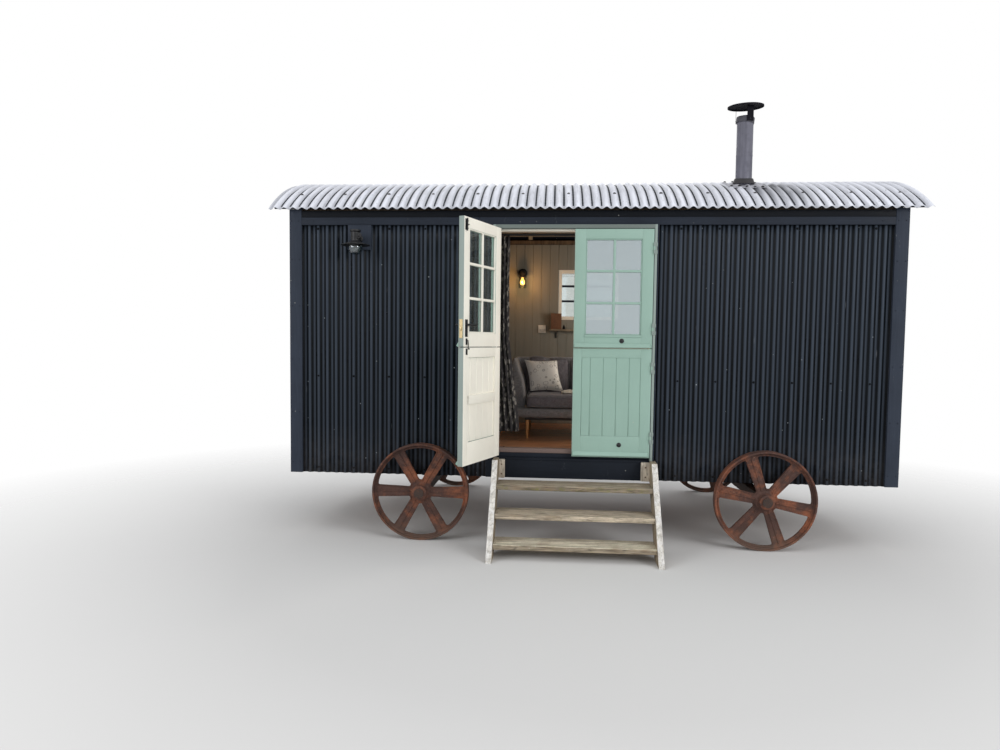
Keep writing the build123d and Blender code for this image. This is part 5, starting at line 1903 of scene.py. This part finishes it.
class HUT_OT_lamp(Operator):
    """Inside lamp: a jar over a lit bulb, with its small warm light"""

    bl_idname = "hut.lamp"
    bl_label = "Inside lamp"

    def execute(self, context):
        iron = stock("black_iron")
        low, high = boxes["wall_lamp"]
        x, y, z, wall = (low.x + high.x) / 2, 1.1492, high.z - 0.048, high.y - 0.0064
        top, foot = z - 0.056, low.z + 0.001
        shape = Shape()
        rose = mm(0, 0, 47, 0, 48, 3, 45, 9, 30, 12, 0, 13)
        shape.turned(rose, iron, (x, wall, z), "Y", 32)
        arm = [(wall - 0.008, 0), (wall - 0.04, 0.004), (y + 0.012, 0.006), (y, -0.004), (y, -0.02)]
        shape.rod([(x, a, z + b) for a, b in arm], 0.0065, iron, 12)
        cap = mm(
            0, 18, 16, 17, 30, 8, 34, -4, 34, -42, 42.5, -45, 43.5, -52, 43.5, -58, 40, -60, 30, -58, 0, -56
        )
        shape.turned(cap, iron, (x, y, z), steps=36)
        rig.replaces(shape.piece("wall_lamp_fitting", "black_iron"), "wall_lamp")
        outside = [(0.037, top), (0.0375, top - 0.012), (0.0436, top - 0.026), (0.0438, foot + 0.012)]
        outside += [(0.039, foot + 0.002), (0, foot)]
        inside = [(0, foot + 0.003), (0.036, foot + 0.005), (0.0414, foot + 0.013), (0.0412, top - 0.027)]
        jar = outside + inside + [(0.0352, top - 0.012), (0.035, top)]
        Shape().turned(jar, stock("jar_glass"), (x, y, 0), steps=40).piece("wall_lamp_jar", "window_glass")
        bulb = mm(0, 1, 12.5, 0, 13, -18, 24, -36, 28.5, -55, 24, -73, 12, -82, 0, -84)
        glow = stock("glow", 255, 186, 92, 3.2)
        Shape().turned(bulb, glow, (x, y, top), steps=28).piece("wall_lamp_bulb", "window_glass")
        light(
            "lamp glow", "POINT", 3.2, (x, y - 0.09, top - 0.055), color=(1.0, 0.5, 0.17),
            shadow_soft_size=0.03
        )
        fill = light(
            "room fill", "POINT", 30.0, (0.75, 0.3, 1.9), color=(1.0, 0.9, 0.8), shadow_soft_size=0.25
        )
        fill.visible_camera = fill.visible_glossy = False
        return {"FINISHED"}


def puffed(low, high, crown, pull, cells, seed, round_off, creases):
    """A stuffed form: crowned faces, rounded edges, sides drawn in between the corners."""
    low, high = Vector(low), Vector(high)
    form = bmesh.new()
    bmesh.ops.create_cube(form, size=2)
    bmesh.ops.subdivide_edges(form, edges=form.edges, cuts=cells, use_grid_fill=True)
    half, middle = (high - low) / 2, (high + low) / 2
    for vert in form.verts:
        unit = vert.co.copy()
        place = Vector([unit[i] * half[i] for i in range(3)])
        inner = Vector([max(-half[i] + round_off, min(half[i] - round_off, place[i])) for i in range(3)])
        away = place - inner
        if away.length > 1e-9 and sum(1 for i in range(3) if abs(away[i]) > 1e-6) > 1:
            place = inner + away.normalized() * round_off
        for i in range(3):
            j, k = (i + 1) % 3, (i + 2) % 3
            middle_way = (1 - unit[j] ** 2) * (1 - unit[k] ** 2)
            edge_way = (1 - unit[j] ** 2) * unit[k] ** 4 + (1 - unit[k] ** 2) * unit[j] ** 4
            swell = middle_way * crown * 0.5 - edge_way * pull * 0.5 - crown * 0.3
            place[i] += copysign(1, unit[i]) * abs(unit[i]) ** 4 * swell
        spot = place * 9.0 + Vector((seed, seed * 2.0, 0))
        place += noise.noise_vector(spot) * creases + noise.noise_vector(spot * 3.1) * creases * 0.35
        vert.co = middle + place
    return form


def seam(low, high, inset, level, axis=2):
    """A closed piping line round a stuffed form, square to an axis."""
    j, k = [i for i in range(3) if i != axis]
    a_low, a_high, b_low, b_high = low[j] + inset, high[j] - inset, low[k] + inset, high[k] - inset
    corners = [(a_low, b_low), (a_high, b_low), (a_high, b_high), (a_low, b_high)]
    points = []
    for a, b in rounded(corners, [0.03] * 4, 4):
        spot = Vector((0, 0, 0))
        spot[axis], spot[j], spot[k] = level, a, b
        points.append(spot)
    return points


def pad(shape, name, lines, trim, fill, node):
    """A stuffed pad, sewn along its lines, with piping on them."""
    made = shape.piece(name, "sofa_fabric", smooth=80.0)
    filled(made, [spot for line in lines for spot in line], cap=0.008)
    if node:
        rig.replaces(made, node)
    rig.padded(made, fill)
    piping = Shape()
    for line in lines:
        piping.rod(line, 0.0034, trim, 8, True)
    piping.piece(name + "_piping", "sofa_fabric")


def tub(wool):
    form = bmesh.new()
    form.from_mesh(nodes["sofa_frame"].data)
    bmesh.ops.remove_doubles(form, verts=form.verts, dist=0.0002)
    tub = Shape().add(form, wool).piece("sofa_tub", "sofa_fabric", smooth=60.0)
    evened(tub, 0.012)
    form = bmesh.new()
    form.from_mesh(tub.data)
    for n in range(9):
        bmesh.ops.smooth_vert(
            form, verts=form.verts, factor=0.5, use_axis_x=True, use_axis_y=True, use_axis_z=True
        )
    for vert in form.verts:
        vert.co += noise.noise_vector(vert.co * 11.0) * 0.003
    form.to_mesh(tub.data)
    form.free()
    coated(tub.data, wool)
    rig.replaces(tub, "sofa_frame")
    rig.padded(tub, 0.8)


def legs():
    low, high = boxes["sofa_legs"]
    oak = stock("plain", "oiled oak", 196, 146, 96, 0.42, 0.0, 26.0, 0.0004)
    dark = stock("plain", "dark rail", 34, 30, 28, 0.7)
    shape = Shape()
    half, bottom, top = 0.02, high.z - 0.02, high.z - 0.0004
    x_low, x_high, y_low, y_high = low.x + half, high.x - half, low.y + half, high.y - half
    leg = [(0, low.z), (0.0105, low.z), (0.012, low.z + 0.003), (0.0195, bottom + 0.004), (0, bottom + 0.005)]
    for y in (y_low, y_high):
        shape.block((low.x, y - half, bottom), (high.x, y + half, top), dark, 0.003)
    for x in (x_low, x_high):
        shape.block((x - half, y_low + 0.0202, bottom), (x + half, y_high - 0.0202, top), dark, 0.003)
        for y in (y_low, y_high):
            shape.turned(leg, oak, (x, y, 0), steps=24)
    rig.replaces(shape.piece("sofa_oak_legs", "leg_timber"), "sofa_legs")


def scatter():
    low, high = boxes["scatter_cushion"]
    shear = Matrix(((1, 0, -0.2, 0.012), (0, 1, 0, 0), (0, 0, 1, 0), (0, 0, 0, 1)))
    place = Matrix.Translation((low + high) / 2) @ spin(-20, "X") @ shear
    half, thick = 0.158, 0.056
    flat, grown = bmesh.new(), bmesh.new()
    bmesh.ops.create_grid(flat, x_segments=26, y_segments=26, size=1)

    def drawn(a, b):
        """How far the cover reaches where its sides are drawn in between the corners."""
        return half * (1 - 0.085 * ((1 - b * b) * a**4 + (1 - a * a) * b**4))

    for sign in (-1, 1):
        points = []
        for vert in flat.verts:
            a, b = vert.co.x, vert.co.y
            rise = ((1 - a**4) * (1 - b**4)) ** 0.55
            spot = Vector((a * drawn(a, b), sign * thick * rise, b * drawn(a, b)))
            points.append(grown.verts.new(spot + noise.noise_vector(spot * 13.0) * 0.005 * rise))
        for face in flat.faces:
            grown.faces.new([points[vert.index] for vert in face.verts])
    flat.free()
    bmesh.ops.remove_doubles(grown, verts=grown.verts, dist=0.0006)
    cover = Shape(place).add(grown, stock("print")).piece(
        "scatter_cushion_cover", "cushion_fabric", smooth=70.0
    )
    sides = [(k, -1 + j / 10) for k in range(4) for j in range(20)]
    ring = [((t, -1), (1, t), (-t, 1), (-1, -t))[k] for k, t in sides]
    line = [Vector((a * drawn(a, b) * 1.004, 0, b * drawn(a, b) * 1.004)) for a, b in ring]
    filled(cover, [place @ spot for spot in line], 0.006, 0.01)
    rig.replaces(cover, "scatter_cushion")
    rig.padded(cover, 0.5)
    edge = Shape(place).rod(line, 0.0036, stock("print"), 8, True)
    edge.piece("scatter_cushion_piping", "cushion_fabric", smooth=70.0)
    form = puffed((-0.2, 0.03, 1.1765), (0.06, 0.25, 1.206), 0.012, 0.008, 12, 9.0, 0.012, 0.004)
    shape = Shape().add(form, stock("wool", 214, 208, 196, 0.2))
    pad = shape.piece("seat_pad_pale", "cushion_fabric", smooth=80.0)
    filled(pad, (), 0.006, 0.006)
    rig.padded(pad, 0.4)


class HUT_OT_sofa(Operator):
    """Small tub sofa with seat and back pads, oak legs and two scatter cushions"""

    bl_idname = "hut.sofa"
    bl_label = "Sofa"

    def execute(self, context):
        wool, lilac = stock("wool", 130, 129, 132), stock("wool", 114, 111, 117)
        tub(wool)
        low, high = boxes["sofa_seat"]
        pad_low = Vector((low.x + 0.095, at("sofa_frame", "Y", 0) - 0.003, low.z + 0.006))
        pad_high = Vector((high.x - 0.095, high.y - 0.004, high.z - 0.006))
        lines = [seam(pad_low, pad_high, 0.004, level) for level in (low.z + 0.018, high.z - 0.018)]
        seat = Shape().add(puffed(pad_low, pad_high, 0.02, 0.006, 16, 1.0, 0.026, 0.003), lilac)
        pad(seat, "sofa_seat_pad", lines, wool, 0.7, "sofa_seat")
        low, high = boxes["sofa_back"]
        edges = [low.x, low.x + 0.2055, high.x - 0.206, high.x]
        for n, (x_low, x_high) in enumerate(zip(edges, edges[1:])):
            pad_low = Vector((x_low + 0.004, low.y + 0.008, low.z + 0.006))
            pad_high = Vector((x_high - 0.004, high.y - 0.005, high.z - 0.008 - 0.012 * (n == 1)))
            back = Shape().add(puffed(pad_low, pad_high, 0.03, 0.01, 12, 3.0 + n, 0.045, 0.004), lilac)
            lines = [seam(pad_low, pad_high, 0.006, low.y + 0.034, 1)]
            pad(back, "sofa_back_pad_" + str(n + 1), lines, wool, 0.6, "sofa_back" if n == 1 else None)
        legs()
        scatter()
        return {"FINISHED"}


def evened(piece, voxel):
    """The same form in faces of one size."""
    even = piece.modifiers.new("even", "REMESH")
    even.mode, even.voxel_size = "VOXEL", voxel
    mesh = baked(piece)
    piece.modifiers.clear()
    piece.data = mesh


def filled(piece, seams=(), voxel=0.008, cap=0.012):
    """The cover is blown up as cloth that its seams hold, and smoothed. No point goes past the cap."""
    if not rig.quick():
        blow(piece, seams, voxel, cap)
    finer = piece.modifiers.new("finer", "SUBSURF")
    finer.levels = finer.render_levels = 1


def blow(piece, seams, voxel, cap):
    scene = bpy.context.scene
    finish = piece.data.materials[0]
    copy = bpy.data.objects.new("cover", piece.data.copy())
    show(copy)
    evened(copy, voxel)
    start = copy.data
    near = kdtree.KDTree(len(seams))
    for number, spot in enumerate(seams):
        near.insert(spot, number)
    near.balance()
    sewn = [point.index for point in start.vertices if seams and near.find(point.co)[2] < 0.009]
    copy.vertex_groups.new(name="sewn").add(sewn, 1.0, "REPLACE")
    cloth = copy.modifiers.new("cloth", "CLOTH")
    stuff = cloth.settings
    stuff.quality, stuff.mass, stuff.vertex_group_mass = 6, 0.25, "sewn"
    stuff.tension_stiffness = stuff.compression_stiffness = 12.0
    stuff.shear_stiffness, stuff.bending_stiffness = 4.0, 0.4
    stuff.use_pressure, stuff.uniform_pressure_force = True, 4.0
    stuff.effector_weights.gravity = 0.0
    cloth.point_cache.frame_start, cloth.point_cache.frame_end = 1, 20
    for number in range(1, 21):
        scene.frame_set(number)
    blown = baked(copy)
    for point, first in zip(blown.vertices, start.vertices):
        move = point.co - first.co
        if move.length > cap:
            point.co = first.co + move * (cap / move.length)
    scene.frame_set(1)
    bpy.data.objects.remove(copy)
    coated(blown, finish)
    piece.data = blown


def cloth(low, high):
    """Seven folds, fuller at the hem and swung aside above the doorway's middle."""
    y = (low.y + high.y) / 2
    folds, across, down, inset = 7, 168, 56, 0.012
    form = bmesh.new()
    layer = form.verts.layers.float_vector.new("cloth")
    rows = []
    flat = (high.x - low.x) * 2.2
    for j in range(down + 1):
        t = j / down
        z = low.z + (high.z - low.z) * t
        open_side = high.x - inset - 0.092 * min(1.0, max(0.0, (z - 0.95) / 0.75))
        rows.append([])
        for i in range(across + 1):
            s = i / across
            depth = (0.026 + 0.008 * sin(s * 9.0 + 1.0)) * (0.75 + 0.25 * (1 - t))
            phase = s * folds * 2 * pi + 0.5 * sin(s * 13.0) + 0.25 * sin(z * 2.1 + s * 5.0)
            sway = 0.012 * sin(phase * 2.0 + 0.4) * (1 - 0.4 * t)
            x = low.x + inset + (open_side - low.x - inset) * s + sway
            spot = Vector((x, y + depth * sin(phase), z))
            spot += noise.noise_vector(Vector((s * 14.0, z * 2.6, 0))) * 0.004
            spot.y = min(max(spot.y, low.y - 0.004), high.y + 0.004)
            vert = form.verts.new(spot)
            vert[layer] = (s * flat, z, 0)
            rows[j].append(vert)
    stretched_over(form, rows)
    mesh = bpy.data.meshes.new("curtain_cloth")
    form.to_mesh(mesh)
    form.free()
    coated(mesh, stock("drape"))
    made = settle(bpy.data.objects.new("curtain_cloth", mesh), HUT, "curtain_fabric")
    thicken(made, 0.0016)
    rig.replaces(made, "curtain")
    drop = high.z - low.z
    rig.sheet(made, flat=(round(flat, 3), round(drop, 3)), held="gathered", area=round(flat * drop, 3))


class HUT_OT_curtain(Operator):
    """Curtain gathered on its pole beside the doorway"""

    bl_idname = "hut.curtain"
    bl_label = "Curtain"

    def execute(self, context):
        iron = stock("black_iron")
        low, high = boxes["curtain_pole"]
        y, z = -0.6522, 2.572
        shape = Shape()
        shape.rod([(low.x + 0.02, y, z), (high.x - 0.02, y, z)], 0.0105, iron, 20)
        knob = mm(0, 0, 6.5, 1, 11.2, 6, 11.8, 12, 8.5, 18.5, 8.5, 24, 0, 24.5)
        for x, out in ((low.x, 1), (high.x, -1)):
            shape.turned([(r, out * h) for r, h in knob], iron, (x, y, z), "X", 24)
        for x in (-0.981, 0.699):
            ends = (x, low.y + 0.0066, z - 0.03), (x + 0.016, low.y + 0.011, z + 0.012)
            shape.block(*ends, iron, 0.001, 1)
            shape.rod(
                [(x + 0.008, low.y + 0.008, z - 0.002), (x + 0.008, y - 0.009, z - 0.002)], 0.0048, iron, 10
            )
        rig.replaces(shape.piece("curtain_rail", "black_iron", smooth=50.0), "curtain_pole")
        cloth(*boxes["curtain"])
        return {"FINISHED"}


def camera(scene):
    """The photo's view, as fitted: angles in radians, focal length and centre in its pixels."""
    yaw, pitch, roll = 0.07616, 0.05828, 0.01166
    focal, center = 712.39, 383.26
    lens = bpy.data.cameras.new("camera")
    lens.sensor_fit = "HORIZONTAL"
    lens.sensor_width = 36.0
    lens.lens = focal / 1000 * 36
    lens.shift_y = (center - 375) / 1000
    forward = Vector((-sin(yaw) * cos(pitch), cos(yaw) * cos(pitch), -sin(pitch)))
    right = Vector((cos(yaw), sin(yaw), 0))
    down = forward.cross(right)
    across = right * cos(roll) - down * sin(roll)
    below = right * sin(roll) + down * cos(roll)
    turn = Matrix((across, -below, -forward)).transposed()
    made = bpy.data.objects.new("camera", lens)
    made.matrix_world = Matrix.Translation((-0.26544, -6.73387, 1.66667)) @ turn.to_4x4()
    show(made)
    scene.camera = made


def world(scene):
    """Plain white to the eye and in glass, and soft light on everything else."""
    world = bpy.data.worlds.new("plain")
    world.use_nodes = True
    net = Net(world.node_tree)
    world.node_tree.nodes.clear()
    rays = ("Is Camera Ray", "Is Glossy Ray", "Is Transmission Ray")
    path = [net.node("ShaderNodeLightPath", None, None, name) for name in rays]
    seen = net.math("MAXIMUM", net.math("MAXIMUM", path[0], path[1]), path[2])
    strength = net.spread(seen, 0.0, 1.0, 0.55 * settings().light_level, 1.0)
    sky = net.node("ShaderNodeBackground", None, {"Color": (1.0, 1.0, 1.0, 1.0), "Strength": strength})
    net.node("ShaderNodeOutputWorld", None, {"Surface": sky})
    scene.world = world


def floor(scene):
    mesh = bpy.data.meshes.new("stage_floor")
    mesh.from_pydata([(-40, -40, 0), (40, -40, 0), (40, 40, 0), (-40, 40, 0)], [], [(0, 1, 2, 3)])
    net = Finish("stage floor")
    tone = tinted("stage")
    base = net.mix(net.noise(0.7, 3.0), shade(tone, 0.99), tone)
    inputs = {"Base Color": base, "Roughness": 0.9, "Specular IOR Level": 0.0}
    plain = net.node("ShaderNodeBsdfPrincipled", None, inputs)
    x, y, z = net.parts(net.place())
    far = net.spread(net.math("SQRT", x * x + (y + 1.0) * (y + 1.0)), 2.6, 7.0)
    mesh.materials.append(net.end(net.blend(far, plain, net.node("ShaderNodeBsdfTransparent"))))
    made = bpy.data.objects.new("stage_floor", mesh)
    show(made)
    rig.stage(made)


class HUT_OT_stage(Operator):
    """Camera, soft lamps, plain world and pale floor"""

    bl_idname = "hut.stage"
    bl_label = "Stage"

    def execute(self, context):
        scene = context.scene
        scene.view_settings.view_transform = "Standard"
        camera(scene)
        world(scene)
        floor(scene)
        lamps = [
            ("sky", (0, -1.5, 9.0), (0, 0.2, 0.4), 12, 9, 110),
            ("left", (-8.5, -8.5, 4.6), (0, 0, 1.3), 5, 4, 330),
            ("right", (8.0, -8.5, 4.6), (0, 0, 1.3), 5, 4, 470),
            ("back", (0, 9.5, 6.0), (0, 0.3, 1.3), 8, 4, 200)
        ]
        for name, place, aim, width, height, energy in lamps:
            made = light(name, "AREA", energy, place, shape="RECTANGLE", size=width, size_y=height)
            made.rotation_euler = (Vector(aim) - Vector(place)).to_track_quat("-Z", "Y").to_euler()
        return {"FINISHED"}


def colour(label, note, *screen):
    look = {"subtype": "COLOR", "size": 3, "min": 0.0, "max": 1.0}
    return bpy.props.FloatVectorProperty(name=label, description=note, default=paint(*screen)[:3], **look)


def length(label, note, default):
    return bpy.props.FloatProperty(
        name=label, description=note, default=default, min=0.0, unit="LENGTH", precision=4
    )


class HutSettings(PropertyGroup):
    """Sizes and colours that the pieces read"""

    roof_colour: colour("Roof", "Paint of the roof sheets", 218, 221, 231)
    cladding_colour: colour("Cladding", "Paint of the wall sheets", 34, 39, 46)
    trim_colour: colour("Trim", "Paint of the corner boards and fascias", 50, 56, 67)
    outside_colour: colour("Doors outside", "Paint on the outside of doors and frame", 147, 177, 165)
    # Greyer sage of the doors' edges and tops; on the door frame it is painted shade.
    edge_colour: colour(
        "Door edges", "Faded paint on the edges of the doors and on their frame", 142, 156, 151
    )
    inside_colour: colour("Doors inside", "Paint on the inside of doors and window", 250, 246, 234)
    wheel_colour: colour("Wheels", "Rust of the cast wheels", 80, 54, 46)
    step_colour: colour("Steps", "Bare weathered timber of the steps", 150, 138, 120)
    lining_colour: colour("Lining", "Paint of the boards inside", 134, 132, 123)
    floor_colour: colour("Floor", "Varnished planks", 184, 128, 92)
    stage_colour: colour("Stage floor", "Floor that the hut stands on for its picture", 226, 226, 226)
    wave_pitch: length("Wave pitch", "Distance between two ridges of the sheets", 0.0762)
    wave_depth: length("Wave depth", "Height of the sheets' waves", 0.018)
    light_level: bpy.props.FloatProperty(
        name="Light", description="Level of all the lamps", default=1.0, min=0.0
    )


operators = (
    HUT_OT_roof, HUT_OT_cladding, HUT_OT_boards, HUT_OT_doors, HUT_OT_ironmongery, HUT_OT_steps,
    HUT_OT_wheels, HUT_OT_underframe, HUT_OT_flue, HUT_OT_lantern, HUT_OT_room, HUT_OT_rear_window,
    HUT_OT_lamp, HUT_OT_sofa, HUT_OT_curtain, HUT_OT_stage
)


class HUT_PT_panel(Panel):
    """Sizes, colours and one button for each group"""

    bl_label = "Shepherd's hut"
    bl_idname = "HUT_PT_panel"
    bl_space_type = "VIEW_3D"
    bl_region_type = "UI"
    bl_category = "Hut"

    def draw(self, context):
        column = self.layout.column()
        for label in HutSettings.__annotations__:
            column.prop(context.scene.hut, label)
        column.separator()
        for operator in operators:
            column.operator(operator.bl_idname)


def register():
    bpy.utils.register_class(HutSettings)
    bpy.types.Scene.hut = bpy.props.PointerProperty(type=HutSettings)
    for operator in operators:
        bpy.utils.register_class(operator)
    bpy.utils.register_class(HUT_PT_panel)


def unregister():
    bpy.utils.unregister_class(HUT_PT_panel)
    for operator in reversed(operators):
        bpy.utils.unregister_class(operator)
    del bpy.types.Scene.hut
    bpy.utils.unregister_class(HutSettings)


def main():
    register()
    for operator in operators:
        group, name = operator.bl_idname.split(".")
        getattr(getattr(bpy.ops, group), name)()
    bpy.context.view_layer.update()
    with open("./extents.json", "w") as file:
        json.dump({"cad": cad_box, "now": [list(corner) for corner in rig.bounds()]}, file, indent=1)


if __name__ == "__main__":
    main()
